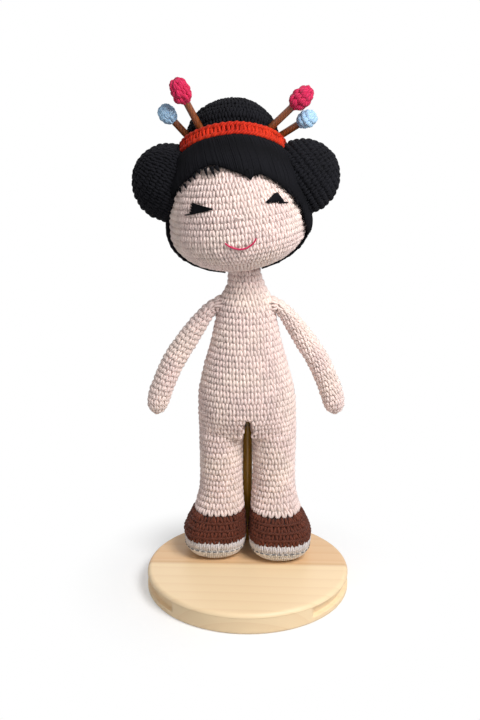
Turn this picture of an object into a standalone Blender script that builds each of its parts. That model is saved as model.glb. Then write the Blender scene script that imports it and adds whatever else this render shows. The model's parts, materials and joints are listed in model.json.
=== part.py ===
"""Crocheted doll with three hair buns and four hair sticks, held up on a round pine stand.

Metres, +Z up. The origin is the centre of the board's underside, the doll faces -Y and its
left hand is at +X. Skins are shells of crocheted cotton, and each holds its own stuffing.
"""

import math

import bmesh
import bpy
import numpy as np
from mathutils import Matrix, Vector

# Fits
TOUCH = 0.0003
OVERRUN = 0.004

# Stand
BOARD_RADIUS = 0.060
BOARD_THICKNESS = 0.0125
BOARD_TOP_ROUND = 0.0026
BOARD_BOTTOM_ROUND = 0.0015
GRIP_DEPTH = 0.002
GRIP_RISE = 0.0038
GRIP_HEIGHT = 0.0056
GRIP_SPAN = math.radians(92)
BOARD_TURN = math.radians(-4)
ROD_RADIUS = 0.003
ROD_SOCKET_DEPTH = 0.0085
ROD_LENGTH = 0.1405
ROD_TIP_ROUND = 0.0015
ROD_BACK = 0.035

# Crocheted cotton
FABRIC = 0.0018

# Legs and shoes
BODY_BACK = 0.026
LEG_HEIGHT = 0.0767
LEG_RADIUS = 0.0134
LEG_DEPTH = 0.0150
LEG_SPREAD = 0.0159
FOOT_HALF_WIDTH = 0.0193
FOOT_HALF_LENGTH = 0.0220
FOOT_SPREAD = 0.0196
FOOT_BACK = 0.0185
RIGHT_FOOT_BEHIND = 0.0040
TOE_SQUARENESS = 1.4
SOLE_TOP_SHARE = 0.152
SHOE_TOP_SHARE = 0.361
# Rows are height, how much of a foot it is, and width and depth of that mix
LEG_SHARES = (
    (0.000, 1.00, 0.540, 0.700),
    (0.022, 1.00, 0.740, 0.830),
    (0.050, 1.00, 0.880, 0.915),
    (0.090, 1.00, 0.965, 0.970),
    (0.152, 1.00, 1.000, 1.000),
    (0.192, 1.00, 1.000, 1.000),
    (0.257, 0.82, 0.980, 0.975),
    (0.361, 0.33, 1.000, 0.935),
    (0.413, 0.15, 1.020, 0.940),
    (0.505, 0.03, 0.995, 0.940),
    (0.635, 0.00, 0.963, 0.927),
    (1.000, 0.00, 1.000, 1.000),
)

# Torso and neck
TORSO_HEIGHT = 0.0987
HIP_HALF_WIDTH = 0.0294
HIP_HALF_DEPTH = 0.0215
NECK_RADIUS = 0.0094
NECK_SHIFT = 0.0026
# Rows are height, width and depth of the hips, radius of the neck, shift aside, squareness
TORSO_SHARES = (
    (0.000, 0.993, 0.720, 0.00, 0.00, 1.30),
    (0.027, 0.990, 0.800, 0.00, 0.02, 1.26),
    (0.078, 0.990, 0.905, 0.00, 0.07, 1.16),
    (0.129, 0.993, 0.970, 0.00, 0.12, 1.08),
    (0.179, 1.000, 1.000, 0.00, 0.18, 1.02),
    (0.260, 0.980, 0.990, 0.00, 0.27, 1.00),
    (0.412, 0.854, 0.900, 0.00, 0.36, 1.00),
    (0.564, 0.707, 0.780, 0.00, 0.40, 1.00),
    (0.706, 0.609, 0.680, 0.00, 0.40, 1.00),
    (0.777, 0.571, 0.633, 0.00, 0.40, 1.00),
    (0.828, 0.500, 0.530, 0.05, 0.42, 1.00),
    (0.868, 0.350, 0.360, 0.30, 0.47, 1.00),
    (0.904, 0.150, 0.160, 0.70, 0.54, 1.00),
    (0.939, 0.034, 0.020, 0.95, 0.66, 1.00),
    (1.000, 0.000, 0.000, 1.00, 1.00, 1.00),
)

# Neck dowel, along the head's turning axis
HEAD_LEAN = math.radians(-6.5)
DOWEL_RADIUS = 0.0025
DOWEL_BELOW = 0.028
DOWEL_ABOVE = 0.024

# Arms
SHOULDER_OUT = 0.0168
SHOULDER_SHARE = 0.79
ARM_REACH = 0.0362
ARM_DROP = 0.0690
ARM_RADIUS = 0.0070
ARM_MOUTH_SHARE = 0.30
# Rows are reach outwards, drop, radius, and the turn downwards as a share of a right angle
ARM_SHARES = (
    (0.000, 0.000, 0.72, 0.00),
    (0.014, 0.000, 0.84, 0.00),
    (0.040, 0.005, 0.88, 0.06),
    (0.110, 0.026, 0.88, 0.27),
    (0.234, 0.100, 0.89, 0.52),
    (0.365, 0.205, 0.95, 0.63),
    (0.491, 0.310, 1.00, 0.65),
    (0.726, 0.520, 0.98, 0.70),
    (0.904, 0.735, 0.98, 0.77),
    (0.969, 0.845, 1.00, 0.85),
    (0.995, 0.925, 0.88, 0.93),
    (1.000, 0.970, 0.58, 0.97),
)

# Head
HEAD_RADIUS = 0.0397
HEAD_LOW = 0.0245
HEAD_HIGH = 0.0580
NECK_HOLE_SHARE = 0.75

# Hair cap, with its face opening as shares of the head's radius from its widest level
CAP_WALL = 0.0017
CAP_NECK_GAP = 0.0016
CAP_EDGE_FRONT = 0.003
FACE_SIDE_SHARE = 1.15
HAIRLINE_SHARES = (
    (-1.000, 0.360),
    (-0.880, 0.585),
    (-0.813, 0.672),
    (-0.689, 0.799),
    (-0.593, 0.867),
    (-0.517, 0.931),
    (-0.408, 0.992),
    (-0.302, 1.027),
    (-0.203, 1.023),
    (-0.091, 0.979),
    (0.082, 0.905),
    (0.189, 0.848),
    (0.405, 0.836),
    (0.498, 0.776),
    (0.606, 0.690),
    (0.713, 0.572),
    (0.806, 0.465),
    (0.898, 0.310),
    (0.940, 0.120),
    (0.960, -0.082),
    (1.000, -0.350),
)

# Short fringe strands under the hairline
FRINGE_STRANDS = 24
FRINGE_START_SHARE = 0.13
FRINGE_END_SHARE = 0.60
FRINGE_ROOT = 0.0010
FRINGE_WIDTH = 0.0013
FRINGE_LENGTH = 0.0042
FRINGE_THICKNESS = 0.0008
FRINGE_VARY_SHARE = 0.50
FRINGE_LEAN = math.radians(24)

# Embroidered face, as shares of the head's radius from its widest level
THREAD = 0.0008
RIGHT_EYE_SHARES = (
    (-0.700, 0.360),
    (-0.562, 0.385),
    (-0.318, 0.448),
    (-0.318, 0.462),
    (-0.500, 0.539),
    (-0.601, 0.516),
    (-0.615, 0.405),
    (-0.700, 0.378),
)
LEFT_EYE_SHARES = (
    (0.432, 0.448),
    (0.455, 0.395),
    (0.677, 0.362),
    (0.760, 0.376),
    (0.760, 0.392),
    (0.700, 0.410),
    (0.640, 0.500),
    (0.602, 0.547),
    (0.560, 0.540),
    (0.432, 0.462),
)
MOUTH_SHARES = (
    (-0.182, -0.015),
    (-0.140, -0.055),
    (-0.086, -0.085),
    (-0.025, -0.108),
    (0.035, -0.117),
    (0.095, -0.110),
    (0.150, -0.088),
    (0.200, -0.055),
    (0.240, -0.010),
)
NOSE_SHARES = ((0.012, 0.318), (0.042, 0.296), (0.072, 0.318), (0.042, 0.334))

# Side buns, placed as shares of the head's radius
SIDE_BUN_RADIUS = 0.0220
RIGHT_BUN_SHARES = (-0.915, 0.150, 0.695)
LEFT_BUN_SHARES = (0.980, 0.150, 0.545)

# Top bun on its own leaning axis, placed as shares of the head's radius and crown height
TOP_BUN_RADIUS = 0.0286
TOP_BUN_DEPTH_SHARE = 1.06
TOP_BUN_HEIGHT = 0.0310
TOP_BUN_TILT = math.radians(-34)
TOP_BUN_UPRIGHT = math.radians(5.5)
TOP_BUN_SHARES = (0.075, 0.365, 0.700)
# Rows are radius and height of the bun's outside
TOP_BUN_PROFILE_SHARES = (
    (0.800, -0.420),
    (0.870, -0.120),
    (0.880, 0.120),
    (0.965, 0.180),
    (1.000, 0.300),
    (0.975, 0.450),
    (0.880, 0.640),
    (0.710, 0.810),
    (0.480, 0.930),
    (0.230, 0.985),
)

# Hair band round the foot of the top bun
BAND_THICKNESS = 0.0038
BAND_WIDTH = 0.0072
BAND_SIDES = 8

# Hair sticks: entry as shares of the top bun's radius, direction, reach, and bobble
STICK_RADIUS = 0.0020
STICK_INSIDE = 0.016
PINK_REACH = 0.0155
BLUE_REACH = 0.0120
PINK_RADIUS = 0.0060
PINK_LENGTH = 0.0165
BLUE_RADIUS = 0.0054
BLUE_LENGTH = 0.0120
BOBBLE_BORE_SHARE = 0.50
STICK_ENTRY_SHARES = {
    "right_pink": (-0.682, -0.717, 0.157),
    "right_blue": (-0.927, -0.350, 0.157),
    "left_pink": (0.699, -0.699, 0.157),
    "left_blue": (0.899, -0.385, 0.140),
}
STICK_LEAN_SHARES = {
    "right_pink": (-0.42, -0.68, 0.60),
    "right_blue": (-0.63, -0.60, 0.50),
    "left_pink": (0.70, -0.56, 0.44),
    "left_blue": (0.79, -0.55, 0.26),
}
# Rows are radius and length along a bobble from the stick to its end
BOBBLE_SHARES = (
    (0.45, 0.00),
    (0.78, 0.14),
    (0.98, 0.36),
    (1.00, 0.56),
    (0.86, 0.78),
    (0.55, 0.94),
)

# Facets
BOARD_SIDES = 44
ROD_SIDES = 16
BODY_SIDES = 20
ARM_SIDES = 12
HEAD_SIDES = 24
HEAD_LOW_ROWS = 5
HEAD_HIGH_ROWS = 6
SIDE_BUN_SIDES = 16
SIDE_BUN_ROWS = 8
TOP_BUN_SIDES = 20
STICK_SIDES = 8
BOBBLE_SIDES = 8
ROUND_STEPS = 3
SMOOTH_ANGLE = math.radians(50)

# Places worked out from the sizes above
FLOOR_OF_DOLL = BOARD_THICKNESS + TOUCH
CROTCH = FLOOR_OF_DOLL + LEG_HEIGHT
TORSO_FLOOR = CROTCH + TOUCH
NECK_TOP = Vector((-NECK_SHIFT, BODY_BACK, TORSO_FLOOR + TORSO_HEIGHT))
FULL_TURN = math.tau
STUFFING_INSET = FABRIC + TOUCH

FINISHES = {
    "pine": ((0.89, 0.72, 0.50), 0.55),
    "varnished_rod": ((0.25, 0.13, 0.03), 0.35),
    "skin_cotton": ((0.84, 0.66, 0.58), 0.90),
    "brown_cotton": ((0.11, 0.04, 0.03), 0.90),
    "grey_cotton": ((0.60, 0.55, 0.50), 0.90),
    "black_cotton": ((0.014, 0.014, 0.016), 0.80),
    "red_cotton": ((0.65, 0.04, 0.015), 0.90),
    "pink_cotton": ((0.62, 0.02, 0.10), 0.90),
    "blue_cotton": ((0.35, 0.52, 0.72), 0.90),
    "stick_wood": ((0.30, 0.08, 0.02), 0.45),
    "stuffing": ((0.85, 0.85, 0.83), 0.95),
    "dowel_wood": ((0.76, 0.58, 0.36), 0.60),
    "mouth_thread": ((0.74, 0.03, 0.12), 0.60),
}


def start_empty():
    """Removes what the new scene holds."""
    for thing in list(bpy.data.objects):
        bpy.data.objects.remove(thing, do_unlink=True)


def frame(name, place, turn=None, parent=None):
    """An empty that carries pieces in its own axes; turn is a rotation matrix."""
    empty = bpy.data.objects.new(name, None)
    bpy.context.scene.collection.objects.link(empty)
    empty.location = place
    if turn is not None:
        empty.rotation_euler = turn.to_euler()
    empty.parent = parent
    return empty


def add_piece(name, bm, finish=None, parent=None):
    """Makes an object from a bmesh; without a finish it is a cutter, which isn't a piece."""
    bmesh.ops.recalc_face_normals(bm, faces=bm.faces)
    mesh = bpy.data.meshes.new(name)
    bm.to_mesh(mesh)
    bm.free()
    piece = bpy.data.objects.new(name, mesh)
    bpy.context.scene.collection.objects.link(piece)
    piece.parent = parent
    if finish is None:
        piece.hide_render = True
        piece.display_type = "WIRE"
        return piece
    mesh.shade_smooth()
    mesh.set_sharp_from_angle(angle=SMOOTH_ANGLE)
    colour, roughness = FINISHES[finish]
    material = bpy.data.materials.new(name)
    material.use_nodes = True
    shader = material.node_tree.nodes["Principled BSDF"]
    shader.inputs["Base Color"].default_value = (*colour, 1.0)
    shader.inputs["Roughness"].default_value = roughness
    shader.inputs["Metallic"].default_value = 0.0
    mesh.materials.append(material)
    return piece


def boolean(piece, operation, *others):
    """Cuts other forms out of a piece, or keeps only what they share."""
    for other in others:
        modifier = piece.modifiers.new(other.name, "BOOLEAN")
        modifier.operation = operation
        modifier.solver = "EXACT"
        modifier.object = other


def cut(piece, *cutters):
    boolean(piece, "DIFFERENCE", *cutters)


def keep_inside(piece, *forms):
    boolean(piece, "INTERSECT", *forms)


def bmesh_of_rings(rings, start_pole=None, end_pole=None):
    """A closed skin over rings of equal count, ended by a pole each or by a flat face."""
    bm = bmesh.new()
    loops = [[bm.verts.new(point) for point in ring] for ring in rings]
    count = len(loops[0])
    for low, high in zip(loops, loops[1:]):
        for i in range(count):
            j = (i + 1) % count
            bm.faces.new((low[i], low[j], high[j], high[i]))
    for loop, pole in ((loops[0], start_pole), (loops[-1], end_pole)):
        if pole is None:
            bm.faces.new(loop)
            continue
        tip = bm.verts.new(pole)
        for i in range(count):
            bm.faces.new((loop[i], loop[(i + 1) % count], tip))
    return bm


def bmesh_of_spin(profile, sides, angle=FULL_TURN):
    """Spins a profile of (radius, height) points about Z; a part turn gets its two end faces."""
    bm = bmesh.new()
    whole = angle == FULL_TURN
    points = [bm.verts.new((radius, 0.0, height)) for radius, height in profile]
    edges = [bm.edges.new(pair) for pair in zip(points, points[1:])]
    if not whole:
        edges.append(bm.edges.new((points[-1], points[0])))
        bm.faces.new(points)
    bmesh.ops.spin(
        bm,
        geom=points + edges + list(bm.faces),
        cent=Vector(),
        axis=Vector((0, 0, 1)),
        angle=angle,
        steps=sides,
        use_merge=whole,
    )
    bmesh.ops.remove_doubles(bm, verts=bm.verts, dist=TOUCH / 10)
    return bm


def bmesh_of_prism(outline, front, back):
    """Extrudes an outline of (x, z) points along Y."""
    bm = bmesh.new()
    face = bm.faces.new([bm.verts.new((x, front, z)) for x, z in outline])
    grown = bmesh.ops.extrude_face_region(bm, geom=[face])
    moved = [item for item in grown["geom"] if isinstance(item, bmesh.types.BMVert)]
    bmesh.ops.translate(bm, verts=moved, vec=(0, back - front, 0))
    return bm


def cylinder(radius, low, high, sides=ROD_SIDES):
    """A closed upright cylinder's bmesh."""
    return bmesh_of_spin([(0, low), (radius, low), (radius, high), (0, high)], sides)


def arc(centre, radius, start, end, steps=ROUND_STEPS):
    """Points of a round stretch of a profile, from one angle to another."""
    angles = [start + (end - start) * i / steps for i in range(steps + 1)]
    return [
        (centre[0] + radius * math.cos(a), centre[1] + radius * math.sin(a))
        for a in angles
    ]


def row_at(table, share):
    """A table's row at any share of its first column."""
    columns = list(zip(*table))
    return [float(np.interp(share, columns[0], column)) for column in columns]


def oval(centre, half_width, half_depth, squareness=1.0, sides=BODY_SIDES):
    """A level ring of points, round to slightly square, counter-clockwise from +X."""
    power = 1.0 / squareness
    ring = []
    for i in range(sides):
        angle = FULL_TURN * i / sides
        x = math.copysign(abs(math.cos(angle)) ** power, math.cos(angle))
        y = math.copysign(abs(math.sin(angle)) ** power, math.sin(angle))
        ring.append(centre + Vector((x * half_width, y * half_depth, 0)))
    return ring


def make_stand():
    """The board with its two finger grooves and rod socket, and the rod glued in it."""
    board_frame = frame("board_frame", (0, 0, 0), Matrix.Rotation(BOARD_TURN, 3, "Z"))
    low = arc(
        (BOARD_RADIUS - BOARD_BOTTOM_ROUND, BOARD_BOTTOM_ROUND),
        BOARD_BOTTOM_ROUND,
        -math.pi / 2,
        0,
    )
    high = arc(
        (BOARD_RADIUS - BOARD_TOP_ROUND, BOARD_THICKNESS - BOARD_TOP_ROUND),
        BOARD_TOP_ROUND,
        0,
        math.pi / 2,
    )
    profile = [(0, 0), *low, *high, (0, BOARD_THICKNESS)]
    board = add_piece(
        "base_board", bmesh_of_spin(profile, BOARD_SIDES), "pine", board_frame
    )
    inner = BOARD_RADIUS - GRIP_DEPTH
    outer = BOARD_RADIUS + OVERRUN
    top = GRIP_RISE + GRIP_HEIGHT
    section = [(inner, GRIP_RISE), (outer, GRIP_RISE), (outer, top), (inner, top)]
    steps = round(BOARD_SIDES * GRIP_SPAN / FULL_TURN)
    for side, middle in (("left", 0.0), ("right", math.pi)):
        groove = add_piece(
            f"{side}_grip_cutter",
            bmesh_of_spin(section, steps, GRIP_SPAN),
            parent=board_frame,
        )
        groove.rotation_euler.z = middle - GRIP_SPAN / 2
        cut(board, groove)
    floor = BOARD_THICKNESS - ROD_SOCKET_DEPTH
    socket = add_piece(
        "rod_socket_cutter",
        cylinder(ROD_RADIUS + TOUCH, floor, BOARD_THICKNESS + OVERRUN),
    )
    socket.location.y = ROD_BACK
    cut(board, socket)
    foot = floor + TOUCH
    tip = arc(
        (ROD_RADIUS - ROD_TIP_ROUND, foot + ROD_LENGTH - ROD_TIP_ROUND),
        ROD_TIP_ROUND,
        0,
        math.pi / 2,
        2,
    )
    shape = [(0, foot), (ROD_RADIUS, foot), *tip, (0, foot + ROD_LENGTH)]
    rod = add_piece("stand_rod", bmesh_of_spin(shape, ROD_SIDES), "varnished_rod")
    rod.location.y = ROD_BACK
    return foot + ROD_LENGTH


def leg_ring(side, share, inset):
    """The leg's outline at a share of its height, drawn in by an inset."""
    _, foot, width, depth = row_at(LEG_SHARES, share)
    foot_back = FOOT_BACK + (RIGHT_FOOT_BEHIND if side < 0 else 0)
    across = foot * FOOT_SPREAD + (1 - foot) * LEG_SPREAD
    back = foot * foot_back + (1 - foot) * BODY_BACK
    half_width = width * (foot * FOOT_HALF_WIDTH + (1 - foot) * LEG_RADIUS)
    half_depth = depth * (foot * FOOT_HALF_LENGTH + (1 - foot) * LEG_DEPTH)
    centre = Vector((side * across, back, FLOOR_OF_DOLL + share * LEG_HEIGHT))
    size = (half_width - inset, half_depth - inset)
    behind = oval(centre, *size)
    ahead = oval(centre, *size, 1 + foot * (TOE_SQUARENESS - 1))
    return [toe if toe.y < back else heel for toe, heel in zip(ahead, behind)]


def leg_form(side, low, high, inset=0.0):
    """The leg between two heights in metres above the board, as a closed form."""
    rows = [row[0] * LEG_HEIGHT for row in LEG_SHARES]
    clear = FABRIC / 4
    heights = [low, *(h for h in rows if low + clear < h < high - clear), high]
    return bmesh_of_rings([leg_ring(side, h / LEG_HEIGHT, inset) for h in heights])


def make_leg(side, name):
    """Sole, shoe upper and leg, three crocheted shells in line, round one stuffing."""
    sole_top = SOLE_TOP_SHARE * LEG_HEIGHT
    shoe_top = SHOE_TOP_SHARE * LEG_HEIGHT
    hollow = add_piece(
        f"{name}_leg_hollow", leg_form(side, FABRIC, LEG_HEIGHT + OVERRUN, FABRIC)
    )
    slices = (
        ("shoe_sole", "grey_cotton", 0.0, sole_top),
        ("shoe_upper", "brown_cotton", sole_top + TOUCH, shoe_top),
        ("leg_skin", "skin_cotton", shoe_top + TOUCH, LEG_HEIGHT),
    )
    for part, finish, low, high in slices:
        piece = add_piece(f"{name}_{part}", leg_form(side, low, high), finish)
        cut(piece, hollow)
    plug_top = LEG_HEIGHT + TOUCH + FABRIC
    add_piece(
        f"{name}_leg_filling",
        leg_form(side, STUFFING_INSET, plug_top, STUFFING_INSET),
        "stuffing",
    )
    return hollow


def torso_ring(share, inset):
    """The torso's outline at a share of its height; it leans into the head's axis."""
    _, width, depth, neck, aside, square = row_at(TORSO_SHARES, min(share, 1.0))
    half_width = width * HIP_HALF_WIDTH + neck * NECK_RADIUS
    half_depth = depth * HIP_HALF_DEPTH + neck * NECK_RADIUS
    level = TORSO_FLOOR + min(share, 1.0) * TORSO_HEIGHT
    centre = Vector((-aside * NECK_SHIFT, BODY_BACK, level))
    ring = oval(Vector(), half_width - inset, half_depth - inset, square)
    lean = Matrix.Rotation(HEAD_LEAN * neck, 3, "Y")
    beyond = Vector((0, 0, max(share - 1.0, 0.0) * TORSO_HEIGHT))
    return [centre + lean @ (point + beyond) for point in ring]


def torso_form(low, high, inset=0.0):
    """The torso between two heights in metres above its floor, as a closed form."""
    rows = [row[0] * TORSO_HEIGHT for row in TORSO_SHARES]
    clear = FABRIC / 4
    heights = [low, *(h for h in rows if low + clear < h < high - clear), high]
    if high > TORSO_HEIGHT:
        heights.insert(-1, TORSO_HEIGHT)
    return bmesh_of_rings([torso_ring(h / TORSO_HEIGHT, inset) for h in heights])


def make_torso(leg_hollows, rod_top, head_frame):
    """The torso and neck, open at the neck and at the legs, on the rod and round the dowel."""
    skin = add_piece("torso_skin", torso_form(0.0, TORSO_HEIGHT), "skin_cotton")
    hollow = add_piece(
        "torso_hollow", torso_form(FABRIC, TORSO_HEIGHT + OVERRUN, FABRIC)
    )
    rod_hole = add_piece(
        "rod_hole_cutter",
        cylinder(ROD_RADIUS + TOUCH, TORSO_FLOOR - OVERRUN, rod_top + TOUCH),
    )
    rod_hole.location.y = ROD_BACK
    cut(skin, hollow, rod_hole, *leg_hollows)
    filling = add_piece(
        "torso_filling",
        torso_form(FABRIC + TOUCH, TORSO_HEIGHT, STUFFING_INSET),
        "stuffing",
    )
    dowel_hole = add_piece(
        "dowel_hole_cutter",
        cylinder(
            DOWEL_RADIUS + TOUCH,
            -DOWEL_BELOW - TOUCH,
            DOWEL_ABOVE + TOUCH,
            STICK_SIDES,
        ),
        parent=head_frame,
    )
    cut(filling, rod_hole, dowel_hole)
    add_piece(
        "neck_dowel",
        cylinder(DOWEL_RADIUS, -DOWEL_BELOW, DOWEL_ABOVE, STICK_SIDES),
        "dowel_wood",
        head_frame,
    )
    return skin, dowel_hole


def shoulder(side):
    """Where an arm is sewn on and swings, at the torso's side."""
    aside = row_at(TORSO_SHARES, SHOULDER_SHARE)[4] * NECK_SHIFT
    height = TORSO_FLOOR + SHOULDER_SHARE * TORSO_HEIGHT
    return Vector((side * SHOULDER_OUT - aside, BODY_BACK, height))


def arm_form(side, inset=0.0):
    """The arm as a closed form in its shoulder's axes, flat at the shoulder, round at the hand."""
    reaches = [row[0] for row in ARM_SHARES if row[0] * ARM_REACH > inset + TOUCH]
    rows = [row_at(ARM_SHARES, reach) for reach in (inset / ARM_REACH, *reaches)]
    rows[0][-1] = 0.0
    rings = []
    for out, drop, share, turn in rows:
        angle = turn * math.pi / 2
        direction = Vector((side * math.cos(angle), 0, -math.sin(angle)))
        centre = Vector((side * out * ARM_REACH, 0, -drop * ARM_DROP))
        rings.append(arm_ring(centre, direction, share * ARM_RADIUS - inset))
    tip = centre + direction * (ARM_DROP * (1 - ARM_SHARES[-1][1]) - inset)
    return bmesh_of_rings(rings, end_pole=tip)


def arm_ring(centre, direction, radius):
    """A ring square to a direction in the XZ plane."""
    across = Vector((0, 1, 0))
    upward = direction.cross(across)
    ring = []
    for i in range(ARM_SIDES):
        angle = FULL_TURN * i / ARM_SIDES
        offset = across * math.cos(angle) + upward * math.sin(angle)
        ring.append(centre + offset * radius)
    return ring


def make_arm(side, name, torso_skin):
    """A stuffed arm whose flat root turns in a shallow round hollow of the torso's side."""
    pivot = frame(f"{name}_shoulder", shoulder(side))
    skin = add_piece(f"{name}_arm_skin", arm_form(side), "skin_cotton", pivot)
    hollow = add_piece(f"{name}_arm_hollow", arm_form(side, FABRIC), parent=pivot)
    mouth_radius = ARM_MOUTH_SHARE * ARM_RADIUS
    mouth = add_piece(
        f"{name}_arm_mouth_cutter",
        cylinder(mouth_radius, -TOUCH, FABRIC + TOUCH, STICK_SIDES),
        parent=pivot,
    )
    socket = add_piece(
        f"{name}_shoulder_cutter",
        cylinder(ARM_RADIUS, -TOUCH, OVERRUN),
        parent=pivot,
    )
    for cutter in (mouth, socket):
        cutter.rotation_euler.y = side * math.pi / 2
    cut(skin, hollow, mouth)
    cut(torso_skin, socket)
    add_piece(
        f"{name}_arm_filling", arm_form(side, STUFFING_INSET), "stuffing", pivot
    )


def head_profile(grow):
    """The head's profile from the neck's rim to the crown, grown or drawn in."""
    wide = HEAD_RADIUS + grow
    start = math.asin((NECK_RADIUS + TOUCH) / HEAD_RADIUS)
    points = []
    for i in range(HEAD_LOW_ROWS + 1):
        angle = start + (math.pi / 2 - start) * i / HEAD_LOW_ROWS
        height = HEAD_LOW - (HEAD_LOW + grow) * math.cos(angle)
        points.append((wide * math.sin(angle), height))
    for i in range(1, HEAD_HIGH_ROWS):
        angle = math.pi / 2 * i / HEAD_HIGH_ROWS
        height = HEAD_LOW + (HEAD_HIGH + grow) * math.sin(angle)
        points.append((wide * math.cos(angle), height))
    return [*points, (0, HEAD_LOW + HEAD_HIGH + grow)]


def head_form(name, grow, head_frame, finish=None):
    """The head's whole form, grown or drawn in, flat inside the neck's rim."""
    profile = head_profile(grow)
    closed = [(0, profile[0][1]), *profile]
    return add_piece(name, bmesh_of_spin(closed, HEAD_SIDES), finish, head_frame)


def make_head(head_frame, dowel_hole, stick_holes):
    """The head's skin, open at the neck, and its stuffing with a plug in that opening."""
    hole = NECK_HOLE_SHARE * NECK_RADIUS
    outside = [(0, TOUCH), (hole, TOUCH), *head_profile(0)]
    skin = add_piece(
        "head_skin", bmesh_of_spin(outside, HEAD_SIDES), "skin_cotton", head_frame
    )
    hollow = head_form("head_hollow", -FABRIC, head_frame)
    neck_hole = add_piece(
        "neck_hole_cutter",
        cylinder(hole, -OVERRUN, HEAD_LOW),
        parent=head_frame,
    )
    cut(skin, hollow, neck_hole, stick_holes)
    plug = hole - TOUCH
    inside = head_profile(-STUFFING_INSET)
    stuffed = [(0, TOUCH), (plug, TOUCH), (plug, inside[0][1]), *inside]
    filling = add_piece(
        "head_filling", bmesh_of_spin(stuffed, HEAD_SIDES), "stuffing", head_frame
    )
    cut(filling, dowel_hole, stick_holes)


def on_face(shares):
    """Points of the face in the head's axes, from shares of its radius."""
    return [(x * HEAD_RADIUS, HEAD_LOW + z * HEAD_RADIUS) for x, z in shares]


def make_face(head_frame, patch_inside, thread_outside):
    """Eyes, mouth and nose, embroidered pads that follow the head's surface."""
    front = -(HEAD_RADIUS + OVERRUN)
    outlines = {
        "right_eye": (on_face(RIGHT_EYE_SHARES), "black_cotton"),
        "left_eye": (on_face(LEFT_EYE_SHARES), "black_cotton"),
        "nose_stitch": (on_face(NOSE_SHARES), "skin_cotton"),
        "mouth": (mouth_outline(), "mouth_thread"),
    }
    for name, (outline, finish) in outlines.items():
        pad = add_piece(name, bmesh_of_prism(outline, front, 0), finish, head_frame)
        keep_inside(pad, thread_outside)
        cut(pad, patch_inside)


def mouth_outline():
    """The smile's thread as a thin outline either side of its line."""
    line = [Vector(point) for point in on_face(MOUTH_SHARES)]
    above, below = [], []
    for i, point in enumerate(line):
        along = line[min(i + 1, len(line) - 1)] - line[max(i - 1, 0)]
        across = Vector((-along.y, along.x)).normalized() * (THREAD / 2)
        above.append(tuple(point + across))
        below.append(tuple(point - across))
    return below + above[::-1]


def make_hair_cap(head_frame, patch_inside, stick_holes):
    """A crocheted wig cap over the head, with the face opening cut through its front."""
    cap = head_form("hair_cap", TOUCH + CAP_WALL, head_frame, "black_cotton")
    side = FACE_SIDE_SHARE
    opening = [(-side, -side), *HAIRLINE_SHARES, (side, -side / 2), (side, -side)]
    opening.insert(1, (-side, HAIRLINE_SHARES[0][1] - (side - 1)))
    front = -(HEAD_RADIUS + OVERRUN)
    face_cutter = add_piece(
        "face_cutter",
        bmesh_of_prism(on_face(opening), front, -CAP_EDGE_FRONT),
        parent=head_frame,
    )
    neck_cutter = add_piece(
        "cap_neck_cutter",
        cylinder(NECK_RADIUS + CAP_NECK_GAP, -OVERRUN, HEAD_LOW),
        parent=head_frame,
    )
    cut(cap, patch_inside, face_cutter, neck_cutter, stick_holes)


def hairline_at(share):
    """A point of the hairline and its direction, at a share of the line's length."""
    line = [Vector(point) for point in on_face(HAIRLINE_SHARES)]
    runs = [(b - a).length for a, b in zip(line, line[1:])]
    left = share * sum(runs)
    i = 0
    while left > runs[i]:
        left -= runs[i]
        i += 1
    along = (line[i + 1] - line[i]).normalized()
    return line[i] + along * left, along


def make_fringe(head_frame, patch_inside):
    """A strip of hair under the hairline that ends in short tapered strands."""
    upper, lower = [], []
    for k in range(FRINGE_STRANDS):
        share = k / (FRINGE_STRANDS - 1)
        point, along = hairline_at(
            FRINGE_START_SHARE + (FRINGE_END_SHARE - FRINGE_START_SHARE) * share
        )
        inward = Vector((along.y, -along.x))
        sway = 1 - FRINGE_VARY_SHARE * (1 - math.cos(5 * k)) / 2
        turn = FRINGE_LEAN * math.cos(math.pi * share) * sway
        fall = (inward + Vector((math.sin(turn), -math.cos(turn)))).normalized()
        shorter = 1 - FRINGE_VARY_SHARE * (1 + math.sin(7 * k)) / 2
        upper.append(point + inward * TOUCH)
        foot = point + inward * (TOUCH + FRINGE_ROOT)
        tip = foot + fall * FRINGE_LENGTH * shorter
        half = along * (FRINGE_WIDTH / 2)
        lower += [foot - half, tip, foot + half]
    outline = [tuple(point) for point in lower + upper[::-1]]
    strands = add_piece(
        "fringe_strands",
        bmesh_of_prism(outline, -(HEAD_RADIUS + OVERRUN), 0),
        "black_cotton",
        head_frame,
    )
    outside = head_form("fringe_outside", TOUCH + FRINGE_THICKNESS, head_frame)
    keep_inside(strands, outside)
    cut(strands, patch_inside)


def place_on_head(shares):
    """A place in the head's axes from shares of its radius, counted from its widest level."""
    x, y, z = shares
    return Vector((x * HEAD_RADIUS, y * HEAD_RADIUS, HEAD_LOW + z * HEAD_RADIUS))


def bun_profile(inset):
    """The top bun's profile from its hidden foot to its top, drawn in by an inset."""
    points = [
        (radius * TOP_BUN_RADIUS - inset, height * TOP_BUN_HEIGHT - inset * max(height, 0))
        for radius, height in TOP_BUN_PROFILE_SHARES
    ]
    foot = (0, points[0][1])
    return [foot, *points, (0, TOP_BUN_HEIGHT - inset)]


def oval_spin(profile, sides):
    """A spun form made slightly deeper than wide, as the top bun is."""
    bm = bmesh_of_spin(profile, sides)
    bmesh.ops.scale(bm, vec=(1, TOP_BUN_DEPTH_SHARE, 1), verts=bm.verts)
    return bm


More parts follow.
